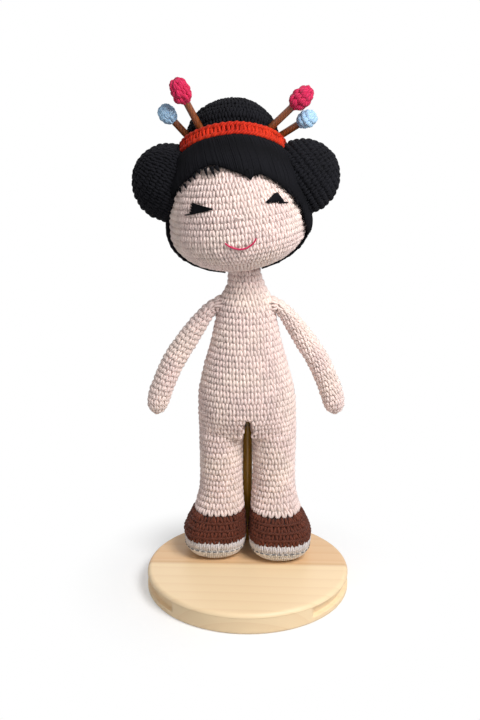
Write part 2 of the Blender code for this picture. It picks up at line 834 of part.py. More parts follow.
def band_profile(grow):
    """The hair band's oval section, which rings the waist of the top bun."""
    waist = max(row[0] for row in TOP_BUN_PROFILE_SHARES[1:3]) * TOP_BUN_RADIUS
    middle = waist + TOUCH + BAND_THICKNESS / 2
    points = []
    for i in range(BAND_SIDES + 1):
        angle = FULL_TURN * (i % BAND_SIDES) / BAND_SIDES
        outward = -(BAND_THICKNESS / 2 + grow) * math.cos(angle)
        points.append((middle + outward, (BAND_WIDTH / 2 + grow) * math.sin(angle)))
    return points


def make_top_bun(bun_frame, hair_outside, stick_holes):
    """The stuffed top bun, open where it is sewn to the cap, and the band round its foot."""
    skin = add_piece(
        "top_bun_skin", oval_spin(bun_profile(0), TOP_BUN_SIDES), "black_cotton", bun_frame
    )
    hollow = add_piece(
        "top_bun_hollow",
        oval_spin(bun_profile(FABRIC), TOP_BUN_SIDES),
        parent=bun_frame,
    )
    cut(skin, hollow, hair_outside, stick_holes)
    filling = add_piece(
        "top_bun_filling",
        oval_spin(bun_profile(STUFFING_INSET), TOP_BUN_SIDES),
        "stuffing",
        bun_frame,
    )
    cut(filling, hair_outside, stick_holes)
    band = add_piece(
        "hair_band", oval_spin(band_profile(0), HEAD_SIDES), "red_cotton", bun_frame
    )
    cut(band, hair_outside, stick_holes)


def make_side_buns(head_frame, bun_frame, hair_outside):
    """Two round buns on the sides of the head, pressed in where the top bun lies."""
    rooms = [
        add_piece(name, oval_spin(profile, sides), parent=bun_frame)
        for name, profile, sides in (
            ("top_bun_room_cutter", bun_profile(-TOUCH), TOP_BUN_SIDES),
            ("hair_band_room_cutter", band_profile(TOUCH), HEAD_SIDES),
        )
    ]
    for name, shares in (("right", RIGHT_BUN_SHARES), ("left", LEFT_BUN_SHARES)):
        place = place_on_head(shares)
        outward = (place - Vector((0, 0, HEAD_LOW))).to_track_quat("Z", "Y")
        ball_frame = frame(f"{name}_bun_frame", place, outward.to_matrix(), head_frame)
        forms = {}
        for part, inset in (("skin", 0.0), ("hollow", FABRIC), ("filling", STUFFING_INSET)):
            radius = SIDE_BUN_RADIUS - inset
            angles = [math.pi * i / SIDE_BUN_ROWS for i in range(SIDE_BUN_ROWS + 1)]
            ball = [(radius * math.sin(a), -radius * math.cos(a)) for a in angles]
            ball[0] = (0, ball[0][1])
            ball[-1] = (0, ball[-1][1])
            finish = {"skin": "black_cotton", "filling": "stuffing"}.get(part)
            forms[part] = add_piece(
                f"{name}_bun_{part}",
                bmesh_of_spin(ball, SIDE_BUN_SIDES),
                finish,
                ball_frame,
            )
        cut(forms["skin"], forms["hollow"], hair_outside, *rooms)
        cut(forms["filling"], hair_outside, *rooms)


def stick_turn(name):
    """The rotation that points +Z along a hair stick, in the top bun's axes."""
    return Vector(STICK_LEAN_SHARES[name]).to_track_quat("Z", "Y").to_matrix()


def stick_place(name):
    return Vector(STICK_ENTRY_SHARES[name]) * TOP_BUN_RADIUS


def make_stick_holes(bun_frame):
    """The holes that the four sticks push through the bun, the cap and the head."""
    bm = bmesh.new()
    for name in STICK_ENTRY_SHARES:
        hole = cylinder(STICK_RADIUS + TOUCH, -STICK_INSIDE - TOUCH, PINK_REACH, STICK_SIDES)
        place = Matrix.Translation(stick_place(name)) @ stick_turn(name).to_4x4()
        bmesh.ops.transform(hole, matrix=place, verts=hole.verts)
        part = bpy.data.meshes.new(f"{name}_hole")
        hole.to_mesh(part)
        hole.free()
        bm.from_mesh(part)
    return add_piece("stick_hole_cutter", bm, parent=bun_frame)


def make_sticks(bun_frame):
    """Four round hair sticks, each with a crocheted bobble on its free end."""
    kinds = {
        "pink": (PINK_REACH, PINK_RADIUS, PINK_LENGTH, "pink_cotton"),
        "blue": (BLUE_REACH, BLUE_RADIUS, BLUE_LENGTH, "blue_cotton"),
    }
    for name in STICK_ENTRY_SHARES:
        reach, radius, length, finish = kinds[name.split("_")[1]]
        axis = frame(f"{name}_axis", stick_place(name), stick_turn(name), bun_frame)
        bore = BOBBLE_BORE_SHARE * length
        add_piece(
            f"{name}_stick",
            cylinder(STICK_RADIUS, -STICK_INSIDE, reach + bore - TOUCH, STICK_SIDES),
            "stick_wood",
            axis,
        )
        hole = STICK_RADIUS + TOUCH
        outside = [(r * radius, reach + h * length) for r, h in BOBBLE_SHARES]
        profile = [(0, reach + bore), (hole, reach + bore), (hole, reach), *outside]
        profile.append((0, reach + length))
        add_piece(f"{name}_bobble", bmesh_of_spin(profile, BOBBLE_SIDES), finish, axis)


def main():
    start_empty()
    rod_top = make_stand()
    head_frame = frame("head_axis", NECK_TOP, Matrix.Rotation(HEAD_LEAN, 3, "Y"))
    tilt = Matrix.Rotation(TOP_BUN_UPRIGHT, 3, "Y") @ Matrix.Rotation(TOP_BUN_TILT, 3, "X")
    bun_x, bun_y, bun_up = TOP_BUN_SHARES
    bun_place = Vector((bun_x * HEAD_RADIUS, bun_y * HEAD_RADIUS, HEAD_LOW + bun_up * HEAD_HIGH))
    bun_frame = frame("top_bun_axis", bun_place, tilt, head_frame)

    hollows = [make_leg(side, name) for side, name in ((1, "left"), (-1, "right"))]
    torso_skin, dowel_hole = make_torso(hollows, rod_top, head_frame)
    for side, name in ((1, "left"), (-1, "right")):
        make_arm(side, name, torso_skin)

    stick_holes = make_stick_holes(bun_frame)
    make_head(head_frame, dowel_hole, stick_holes)
    patch_inside = head_form("patch_inside", TOUCH, head_frame)
    thread_outside = head_form("thread_outside", TOUCH + THREAD, head_frame)
    hair_outside = head_form("hair_outside", CAP_WALL + 2 * TOUCH, head_frame)
    make_face(head_frame, patch_inside, thread_outside)
    make_hair_cap(head_frame, patch_inside, stick_holes)
    make_fringe(head_frame, patch_inside)
    make_top_bun(bun_frame, hair_outside, stick_holes)
    make_side_buns(head_frame, bun_frame, hair_outside)
    make_sticks(bun_frame)
    bpy.context.view_layer.update()


main()
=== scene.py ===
"""A crocheted doll on its round pine stand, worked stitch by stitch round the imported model.

Metres, +Z up. The doll faces -Y and its left hand is at +X. Every form is measured on the
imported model, so each skin, strand and thread lies where the model has it.
"""

import json
import logging
import math
from collections.abc import Callable
from dataclasses import dataclass
from enum import Enum

import bmesh
import bpy
import numpy as np
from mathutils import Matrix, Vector
from mathutils.bvhtree import BVHTree
from mathutils.geometry import interpolate_bezier


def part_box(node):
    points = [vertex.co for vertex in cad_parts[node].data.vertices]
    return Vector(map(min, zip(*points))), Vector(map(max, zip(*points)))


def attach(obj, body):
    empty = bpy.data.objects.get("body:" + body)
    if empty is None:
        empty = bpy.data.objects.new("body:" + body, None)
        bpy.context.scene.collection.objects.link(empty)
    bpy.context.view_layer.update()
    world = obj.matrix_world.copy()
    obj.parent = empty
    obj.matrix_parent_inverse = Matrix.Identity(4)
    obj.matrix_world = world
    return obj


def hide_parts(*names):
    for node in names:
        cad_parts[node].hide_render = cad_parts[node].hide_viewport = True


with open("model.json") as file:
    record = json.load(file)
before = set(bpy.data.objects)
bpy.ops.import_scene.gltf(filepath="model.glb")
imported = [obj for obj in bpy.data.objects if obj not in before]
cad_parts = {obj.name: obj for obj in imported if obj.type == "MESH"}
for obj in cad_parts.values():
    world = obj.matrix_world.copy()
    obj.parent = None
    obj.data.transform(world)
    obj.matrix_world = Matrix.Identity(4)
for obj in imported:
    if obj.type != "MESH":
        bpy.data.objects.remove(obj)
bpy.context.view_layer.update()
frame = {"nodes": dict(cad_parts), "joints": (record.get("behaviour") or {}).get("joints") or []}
LOG = logging.getLogger("doll")

MM = 0.001
FULL_TURN = math.tau
UP = Vector((0, 0, 1))
ASIDE = Vector((1, 0, 0))
BACK = Vector((0, 1, 0))

# How finely a form is measured and kept, and how its plain meshes are spaced and merged
RAYS = 48
KEPT_TURNS = 96
KEPT_ROWS = 160
REACH = 0.2
MESH_TURNS = 48
MESH_STEP = 3 * MM
MERGED = 0.02 * MM

# Where a stitch's leg starts, bends and ends, in shares of its width, its height and its yarn
STITCH_LEG = {
    "Leg Foot": (0.06, -0.06, -1.00),
    "Leg Belly": (0.32, 0.46, 1.30),
    "Leg Head": (0.26, 0.98, -0.40),
}

# Sockets of a colour mix node, which have no names of their own
FACTOR, COLOUR_A, COLOUR_B, COLOUR_OUT = 0, 6, 7, 2

# The kinds of node that the trees use most
MATH = "ShaderNodeMath"
VECTOR_MATH = "ShaderNodeVectorMath"
MAP_RANGE = "ShaderNodeMapRange"
MIX = "ShaderNodeMix"
NOISE = "ShaderNodeTexNoise"
BUMP = "ShaderNodeBump"
STORE = "GeometryNodeStoreNamedAttribute"
RANDOM = "FunctionNodeRandomValue"


class Side(Enum):
    """The doll's own sides, with the sign of X."""

    LEFT = 1
    RIGHT = -1

    @property
    def word(self) -> str:
        """The side's name as the nodes use it."""
        return self.name.lower()


class Worked(Enum):
    """Which way a row's stitches point."""

    UPWARDS = 1
    DOWNWARDS = -1


def linear(colour: str) -> tuple[float, float, float, float]:
    """Turns an sRGB hex colour to linear values.

    Args:
        colour: Text such as "#f2d8d0".

    Returns:
        Red, green, blue and an alpha of 1.
    """
    parts = [int(colour[i : i + 2], 16) / 255 for i in (1, 3, 5)]
    red, green, blue = (p / 12.92 if p <= 0.04045 else ((p + 0.055) / 1.055) ** 2.4 for p in parts)
    return red, green, blue, 1.0


def add_node(
    tree: bpy.types.NodeTree, kind: str, inputs: dict | None = None, **settings: object
) -> bpy.types.Node:
    """Adds a node with its settings and links.

    Args:
        tree: The tree that gets the node.
        kind: Blender's name for the node.
        inputs: By socket name or number, a value, a socket to link, a node for its first
            output, or a list of these.
        settings: The node's own properties.

    Returns:
        The node.
    """
    node = tree.nodes.new(kind)
    for name, value in settings.items():
        setattr(node, name, value)
    for key, value in (inputs or {}).items():
        socket = node.inputs[key]
        for item in value if isinstance(value, list) else [value]:
            if isinstance(item, bpy.types.Node):
                item = item.outputs[0]
            if isinstance(item, bpy.types.NodeSocket):
                tree.links.new(item, socket)
            else:
                socket.default_value = item
    return node


def new_material(
    name: str, **shader_values: object
) -> tuple[bpy.types.Material, bpy.types.NodeTree, bpy.types.Node]:
    """Starts a material on a Principled shader.

    Args:
        name: The material's name.
        shader_values: Values for the shader's sockets, with _ for each space.

    Returns:
        The material, its tree and its shader.
    """
    material = bpy.data.materials.new(name)
    material.use_nodes = True
    tree = material.node_tree
    shader = tree.nodes["Principled BSDF"]
    for key, value in shader_values.items():
        shader.inputs[key.replace("_", " ")].default_value = value
    return material, tree, shader


@dataclass(frozen=True)
class Finish:
    """The look of a real material, whose Blender material is made once."""

    name: str

    def material(self) -> bpy.types.Material:
        """Returns the finish's material, which is made if it isn't there yet."""
        if self.name in bpy.data.materials:
            return bpy.data.materials[self.name]
        return self.make()

    def make(self) -> bpy.types.Material:
        """Makes the material, as each kind of finish does in its own way."""
        raise NotImplementedError


@dataclass(frozen=True)
class CottonYarn(Finish):
    """Plied mercerised cotton: its plies make fine slanting ridges with a soft sheen.

    The plies are drawn a little coarser than the real ones, so that they show.
    """

    colour: str
    # shade: painted shade, mixed into the grooves between the plies
    shade: str
    drift: str
    plies: int = 4
    twist: float = 7 * MM
    roughness: float = 0.72
    sheen: float = 0.15
    sheen_roughness: float = 0.45
    gloss: float = 0.25
    ridge: float = 0.30
    ridge_depth: float = 0.25 * MM
    # tint_share spreads the stitches' own tones and also sets how dark the painted shade on the
    # backing comes out
    tint_share: float = 0.16
    drift_size: float = 22 * MM
    drift_share: float = 0.6
    fuzz_size: float = 0.35 * MM

    def make(self) -> bpy.types.Material:
        """Makes the yarn's material."""
        material, tree, shader = new_material(
            self.name,
            Roughness=self.roughness,
            Sheen_Weight=self.sheen,
            Sheen_Roughness=self.sheen_roughness,
            Specular_IOR_Level=self.gloss,
        )
        where = add_node(tree, "ShaderNodeTexCoord").outputs["Object"]
        # The plies wind round the yarn as it runs on; the shade colour is painted shade in the
        # grooves between them
        around = add_node(tree, "ShaderNodeAttribute", attribute_name="yarn_round")
        across = add_node(tree, "ShaderNodeSeparateXYZ", {0: around.outputs["Vector"]})
        angle = add_node(tree, MATH, {0: across.outputs[1], 1: across}, operation="ARCTAN2")
        along = add_node(tree, "ShaderNodeAttribute", attribute_name="yarn_length")
        turned = add_node(
            tree,
            MATH,
            {0: along.outputs["Fac"], 1: FULL_TURN / self.twist, 2: angle},
            operation="MULTIPLY_ADD",
        )
        phase = add_node(tree, MATH, {0: turned, 1: float(self.plies)}, operation="MULTIPLY")
        wave = add_node(tree, MATH, {0: phase}, operation="SINE")
        ridge = add_node(tree, MAP_RANGE, {"Value": wave, "From Min": -1.0})
        body = add_node(
            tree,
            MIX,
            {FACTOR: ridge, COLOUR_A: linear(self.shade), COLOUR_B: linear(self.colour)},
            data_type="RGBA",
        )
        # The dye drifts from place to place and each stitch has a tone of its own; the backing's
        # tint lies far below the stitches', which paints shade into the gaps between them
        patches = add_node(
            tree, NOISE, {"Vector": where, "Scale": 1 / self.drift_size, "Detail": 2.0}
        )
        drifting = add_node(
            tree,
            MAP_RANGE,
            {"Value": patches, "From Min": 0.40, "From Max": 0.64, "To Max": self.drift_share},
        )
        drifted = add_node(
            tree,
            MIX,
            {FACTOR: drifting, COLOUR_A: body.outputs[COLOUR_OUT], COLOUR_B: linear(self.drift)},
            data_type="RGBA",
        )
        tint = add_node(tree, "ShaderNodeAttribute", attribute_name="tint")
        level = add_node(
            tree,
            MAP_RANGE,
            {
                "Value": tint.outputs["Fac"],
                "To Min": 1 - self.tint_share / 2,
                "To Max": 1 + self.tint_share / 2,
            },
            clamp=False,
        )
        tinted = add_node(
            tree, "ShaderNodeHueSaturation", {"Color": drifted.outputs[COLOUR_OUT], "Value": level}
        )
        # Fine fuzz lies over the ridges
        fuzz = add_node(tree, NOISE, {"Vector": where, "Scale": 1 / self.fuzz_size, "Detail": 3.0})
        height = add_node(tree, MATH, {0: fuzz, 1: 0.5, 2: ridge}, operation="MULTIPLY_ADD")
        bump = add_node(
            tree, BUMP, {"Strength": self.ridge, "Distance": self.ridge_depth, "Height": height}
        )
        tree.links.new(tinted.outputs[0], shader.inputs["Base Color"])
        tree.links.new(bump.outputs[0], shader.inputs["Normal"])
        return material


# Smooth mercerised cotton in a pale skin tone: a soft light runs along each plump loop
SKIN_COTTON = CottonYarn(
    "skin_cotton_yarn", "#f6e1dc", "#dfc6bf", "#f4e2d6", roughness=0.55, gloss=0.35
)
# Dark brown cotton, uneven in its dye, with very dark painted shade on the backing between the
# loops, so that single stitches stand out
BROWN_COTTON = CottonYarn(
    "brown_cotton_yarn", "#6b3523", "#431d10", "#5f2d1d", sheen=0.05, tint_share=0.3
)
# Two light cottons under the shoes, the rim cool and the sole warm
STONE_COTTON = CottonYarn("stone_cotton_yarn", "#e6e0e0", "#bcb6b8", "#dcd7da", tint_share=0.1)
SOLE_COTTON = CottonYarn("beige_cotton_yarn", "#f1ece9", "#cfc8c3", "#e9e2da", tint_share=0.1)
# Slate sewing thread, which reads as a row of dark dashes
SEAM_COTTON = CottonYarn("slate_cotton_yarn", "#74777e", "#55585f", "#7d8087")
# Matt black cotton: its loops show by their shadows, and hardly shine
BLACK_COTTON = CottonYarn(
    "black_cotton_yarn", "#1b1b20", "#101013", "#17171c", roughness=0.8, sheen=0.02, gloss=0.08
)
# Bright dyed cottons with little shine, deep between the loops, where painted shade on the backing
# darkens the gaps
RED_COTTON = CottonYarn(
    "red_cotton_yarn", "#d32e14", "#9c190a", "#dd3b1a", sheen=0.05, gloss=0.15, tint_share=0.2
)
PINK_COTTON = CottonYarn("crimson_cotton_yarn", "#db285c", "#a61641", "#d02350", tint_share=0.1)
# Pale blue cotton, soft and matt
BLUE_COTTON = CottonYarn(
    "blue_cotton_yarn",
    "#b2d3ee",
    "#9cc2e4",
    "#b9d8f0",
    sheen=0.05,
    gloss=0.02,
    ridge=0.05,
    tint_share=0.1,
)
# Straight embroidery floss without twist: flat deep black
BLACK_FLOSS = CottonYarn(
    "black_satin_floss",
    "#19191d",
    "#0d0d0f",
    "#141418",
    plies=3,
    twist=60 * MM,
    roughness=0.75,
    sheen=0.0,
    gloss=0.05,
    tint_share=0.0,
)
# Tightly twisted embroidery thread, a little shinier than the yarns
MOUTH_THREAD = CottonYarn(
    "crimson_embroidery_thread", "#e02a62", "#b81a4a", "#e63a6e", twist=3 * MM, roughness=0.5
)


@dataclass(frozen=True)
class FibreWadding(Finish):
    """Polyester fibre filling: white, matt and cloudy."""

    name: str = "polyester_wadding"
    colour: str = "#ecebe7"
    shade: str = "#c9c8c4"
    fibre: float = 1.2 * MM
    fill: float = 0.8

    def make(self) -> bpy.types.Material:
        """Makes the wadding's material."""
        material, tree, shader = new_material(self.name, Roughness=0.95, Sheen_Weight=0.4)
        where = add_node(tree, "ShaderNodeTexCoord").outputs["Object"]
        cloud = add_node(
            tree,
            NOISE,
            {"Vector": where, "Scale": 1 / self.fibre, "Detail": 4.0, "Distortion": 2.0},
        )
        colour = add_node(
            tree,
            MIX,
            {FACTOR: cloud, COLOUR_A: linear(self.shade), COLOUR_B: linear(self.colour)},
            data_type="RGBA",
        )
        bump = add_node(tree, BUMP, {"Strength": 0.6, "Distance": self.fibre / 2, "Height": cloud})
        tree.links.new(colour.outputs[COLOUR_OUT], shader.inputs["Base Color"])
        tree.links.new(bump.outputs[0], shader.inputs["Normal"])
        return material


@dataclass(frozen=True)
class SawnWood(Finish):
    """Wood with growth rings, fine fibres along X and its own gloss.

    The heart is where the middle of the tree lay, as (y, z) from the piece. A board glued of
    two has a second heart and a joint, which lies a metre off where there is none.
    """

    early: str
    late: str
    ring_pitch: float
    heart: tuple[float, float]
    second_heart: tuple[float, float] | None = None
    joint_at: float = 1.0
    roughness: float = 0.5
    coat: float = 0.0
    contrast: float = 1.0
    turn: float = 0.0
    along_z: bool = False
    wander: float = 2.2
    second_tone: float = 0.0
    glue: str = "#d2a878"
    glue_width: float = 3.2 * MM
    glue_share: float = 0.55

    def make(self) -> bpy.types.Material:
        """Makes the wood's material."""
        material, tree, shader = new_material(
            self.name,
            Roughness=self.roughness,
            Coat_Weight=self.coat,
            Coat_Roughness=0.25,
            Specular_IOR_Level=0.4,
        )
        where = add_node(tree, "ShaderNodeTexCoord").outputs["Object"]
        turned = add_node(
            tree,
            "ShaderNodeMapping",
            {"Vector": where, "Rotation": (0, math.pi / 2 if self.along_z else 0, self.turn)},
        ).outputs[0]
        apart = add_node(tree, "ShaderNodeSeparateXYZ", {0: turned})
        behind = add_node(
            tree, MATH, {0: apart.outputs[1], 1: self.joint_at}, operation="GREATER_THAN"
        )
        # Slow waves along the trunk make the rings stray
        wander = add_node(
            tree,
            NOISE,
            {
                "Vector": add_node(
                    tree, "ShaderNodeMapping", {"Vector": turned, "Scale": (4, 22, 22)}
                ).outputs[0],
                "Scale": 1.0,
                "Detail": 2.0,
            },
        )
        # Rings lie round the tree's heart and darken towards each ring's end
        squares = []
        for axis, first, second in zip((1, 2), self.heart, self.second_heart or self.heart):
            heart = add_node(tree, MAP_RANGE, {"Value": behind, "To Min": first, "To Max": second})
            off = add_node(tree, MATH, {0: apart.outputs[axis], 1: heart}, operation="SUBTRACT")
            squares.append(add_node(tree, MATH, {0: off, 1: 2.0}, operation="POWER").outputs[0])
        total = add_node(tree, MATH, {0: squares[0], 1: squares[1]}, operation="ADD")
        radius = add_node(tree, MATH, {0: total}, operation="SQRT")
        wavy = add_node(
            tree,
            MATH,
            {0: wander, 1: self.ring_pitch * self.wander, 2: radius},
            operation="MULTIPLY_ADD",
        )
        rings = add_node(tree, MATH, {0: wavy, 1: 1 / self.ring_pitch}, operation="MULTIPLY")
        ring = add_node(tree, MATH, {0: rings}, operation="FRACT")
        sharp = add_node(tree, MATH, {0: ring, 1: 3.0}, operation="POWER")
        fibres = add_node(
            tree,
            NOISE,
            {
                "Vector": add_node(
                    tree, "ShaderNodeMapping", {"Vector": turned, "Scale": (50, 1400, 1400)}
                ).outputs[0],
                "Scale": 1.0,
                "Detail": 3.0,
            },
        )
        grain = add_node(tree, MATH, {0: fibres, 1: 0.35, 2: sharp}, operation="MULTIPLY_ADD")
        plank = add_node(tree, MATH, {0: behind, 1: self.second_tone}, operation="MULTIPLY")
        faint = add_node(
            tree, MATH, {0: grain, 1: self.contrast, 2: plank}, operation="MULTIPLY_ADD"
        )
        wood = add_node(
            tree,
            MIX,
            {FACTOR: faint, COLOUR_A: linear(self.early), COLOUR_B: linear(self.late)},
            data_type="RGBA",
        )
        # The glued joint shows as a soft darker line
        from_joint = add_node(
            tree, MATH, {0: apart.outputs[1], 1: self.joint_at}, operation="SUBTRACT"
        )
        off_joint = add_node(tree, MATH, {0: from_joint}, operation="ABSOLUTE")
        line = add_node(
            tree,
            MAP_RANGE,
            {
                "Value": off_joint,
                "From Max": self.glue_width,
                "To Min": self.glue_share,
                "To Max": 0.0,
            },
            interpolation_type="SMOOTHSTEP",
        )
        glued = add_node(
            tree,
            MIX,
            {FACTOR: line, COLOUR_A: wood.outputs[COLOUR_OUT], COLOUR_B: linear(self.glue)},
            data_type="RGBA",
        )
        bump = add_node(tree, BUMP, {"Strength": 0.12, "Distance": 0.1 * MM, "Height": grain})
        tree.links.new(glued.outputs[COLOUR_OUT], shader.inputs["Base Color"])
        tree.links.new(bump.outputs[0], shader.inputs["Normal"])
        return material


# Two planks of pine, sanded and waxed: pale, with wide faint rings and a silky shine
PINE = SawnWood(
    "waxed_pine",
    "#f8ddb4",
    "#e2b687",
    ring_pitch=8 * MM,
    heart=(-0.24, -0.13),
    second_heart=(0.30, -0.10),
    joint_at=1 * MM,
    roughness=0.45,
    coat=0.10,
    contrast=0.20,
    turn=math.radians(2),
    wander=1.4,
    second_tone=0.70,
)
# A dowel under dark varnish: olive brown streaks below a clear gloss
VARNISHED_ROD = SawnWood(
    "dark_varnished_rod",
    "#a67f1d",
    "#7c5b0e",
    ring_pitch=1.6 * MM,
    heart=(0.010, 0.004),
    roughness=0.30,
    coat=0.6,
    contrast=0.8,
    along_z=True,
)
# Thin sticks stained brown: warm streaks with a thin lacquer
STICK_WOOD = SawnWood(
    "stained_stick_wood",
    "#8a481e",
    "#58280e",
    ring_pitch=1.1 * MM,
    heart=(0.012, 0.006),
    roughness=0.38,
    coat=0.35,
    contrast=0.9,
    along_z=True,
)
# Bare beech: pale, close in its grain and matt
DOWEL_WOOD = SawnWood(
    "plain_beech_dowel",
    "#e0bd8a",
    "#bd935c",
    ring_pitch=1.4 * MM,
    heart=(0.010, 0.008),
    roughness=0.6,
    contrast=0.6,
    along_z=True,
)
WADDING = FibreWadding()


def add_object(name: str, mesh: bpy.types.Mesh, finish: Finish | None = None) -> bpy.types.Object:
    """Puts a mesh in the scene as an object at the origin.

    Args:
        name: The object's name.
        mesh: Its mesh.
        finish: Its finish, or None for a mesh that is given its material elsewhere.

    Returns:
        The object.
    """
    if finish is not None:
        mesh.materials.append(finish.material())
    thing = bpy.data.objects.new(name, mesh)
    bpy.context.scene.collection.objects.link(thing)
    return thing


def grow(
    tree: bpy.types.NodeTree, seed_mesh: bpy.types.Mesh, name: str, inputs: dict[str, object]
) -> bpy.types.Object:
    """Runs a Geometry Nodes tree on a mesh and keeps the result as a plain mesh.

    Args:
        tree: The tree to run.
        seed_mesh: The points or lines that the tree starts from.
        name: The new object's name.
        inputs: Values for the tree's named inputs.

    Returns:
        The new object.
    """
    holder = add_object(f"{name}_seed", seed_mesh)
    modifier = holder.modifiers.new(name, "NODES")
    modifier.node_group = tree
    sockets = {
        item.name: item.identifier for item in tree.interface.items_tree if item.in_out == "INPUT"
    }
    for key, value in inputs.items():
        modifier[sockets[key]] = value
    bpy.context.view_layer.update()
    evaluated = holder.evaluated_get(bpy.context.evaluated_depsgraph_get())
    mesh = bpy.data.meshes.new_from_object(evaluated)
    holder.modifiers.clear()
    bpy.data.objects.remove(holder, do_unlink=True)
    mesh.name = name
    return add_object(name, mesh)


def start_tree(
    name: str, inputs: dict[str, tuple[str, object]]
) -> tuple[bpy.types.NodeTree, dict[str, bpy.types.NodeSocket]]:
    """Starts a Geometry Nodes tree with named inputs.

    Args:
        name: The tree's name.
        inputs: By name, the kind of socket and its default value.

    Returns:
        The tree and the sockets that its inputs come from, by name.
    """
    tree = bpy.data.node_groups.new(name, "GeometryNodeTree")
    tree.interface.new_socket("Geometry", in_out="INPUT", socket_type="NodeSocketGeometry")
    tree.interface.new_socket("Geometry", in_out="OUTPUT", socket_type="NodeSocketGeometry")
    for label, (kind, value) in inputs.items():
        socket = tree.interface.new_socket(label, in_out="INPUT", socket_type=f"NodeSocket{kind}")
        if value is not None:
            socket.default_value = value
    entry = add_node(tree, "NodeGroupInput")
    return tree, {socket.name: socket for socket in entry.outputs if socket.name}


def swept_yarn(
    tree: bpy.types.NodeTree,
    rail: bpy.types.NodeSocket,
    sides: bpy.types.NodeSocket,
    radius: bpy.types.NodeSocket,
) -> bpy.types.NodeSocket:
    """Sweeps a round yarn along a curve and marks its length and its way round.

    Args:
        tree: The tree that gets the nodes.
        rail: The curve.
        sides: How many sides the yarn has.
        radius: The yarn's radius along the curve.

    Returns:
        The socket that the yarn's mesh comes from.
    """
    run = add_node(tree, "GeometryNodeSplineParameter")
    marked = add_node(
        tree,
        STORE,
        {"Geometry": rail, "Name": "yarn_length", "Value": run.outputs["Length"]},
        data_type="FLOAT",
        domain="POINT",
    )
    ring = add_node(tree, "GeometryNodeCurvePrimitiveCircle", {"Resolution": sides, "Radius": 1.0})
    place = add_node(tree, "GeometryNodeInputPosition")
    rounded = add_node(
        tree,
        STORE,
        {"Geometry": ring, "Name": "yarn_round", "Value": place},
        data_type="FLOAT_VECTOR",
        domain="POINT",
    )
    swept = add_node(
        tree,
        "GeometryNodeCurveToMesh",
        {"Curve": marked, "Profile Curve": rounded, "Scale": radius, "Fill Caps": True},
    )
    return swept.outputs[0]


def end_tree(
    tree: bpy.types.NodeTree, shape: bpy.types.NodeSocket, material: bpy.types.NodeSocket
) -> bpy.types.NodeTree:
    """Ends a tree: its instances are made real, shaded smooth and given their material.

    Args:
        tree: The tree.
        shape: The geometry so far.
        material: The socket that the material comes from.

    Returns:
        The finished tree.
    """
    real = add_node(tree, "GeometryNodeRealizeInstances", {"Geometry": shape})
    smooth = add_node(tree, "GeometryNodeSetShadeSmooth", {"Geometry": real})
    dressed = add_node(tree, "GeometryNodeSetMaterial", {"Geometry": smooth, "Material": material})
    add_node(tree, "NodeGroupOutput", {"Geometry": dressed})
    return tree


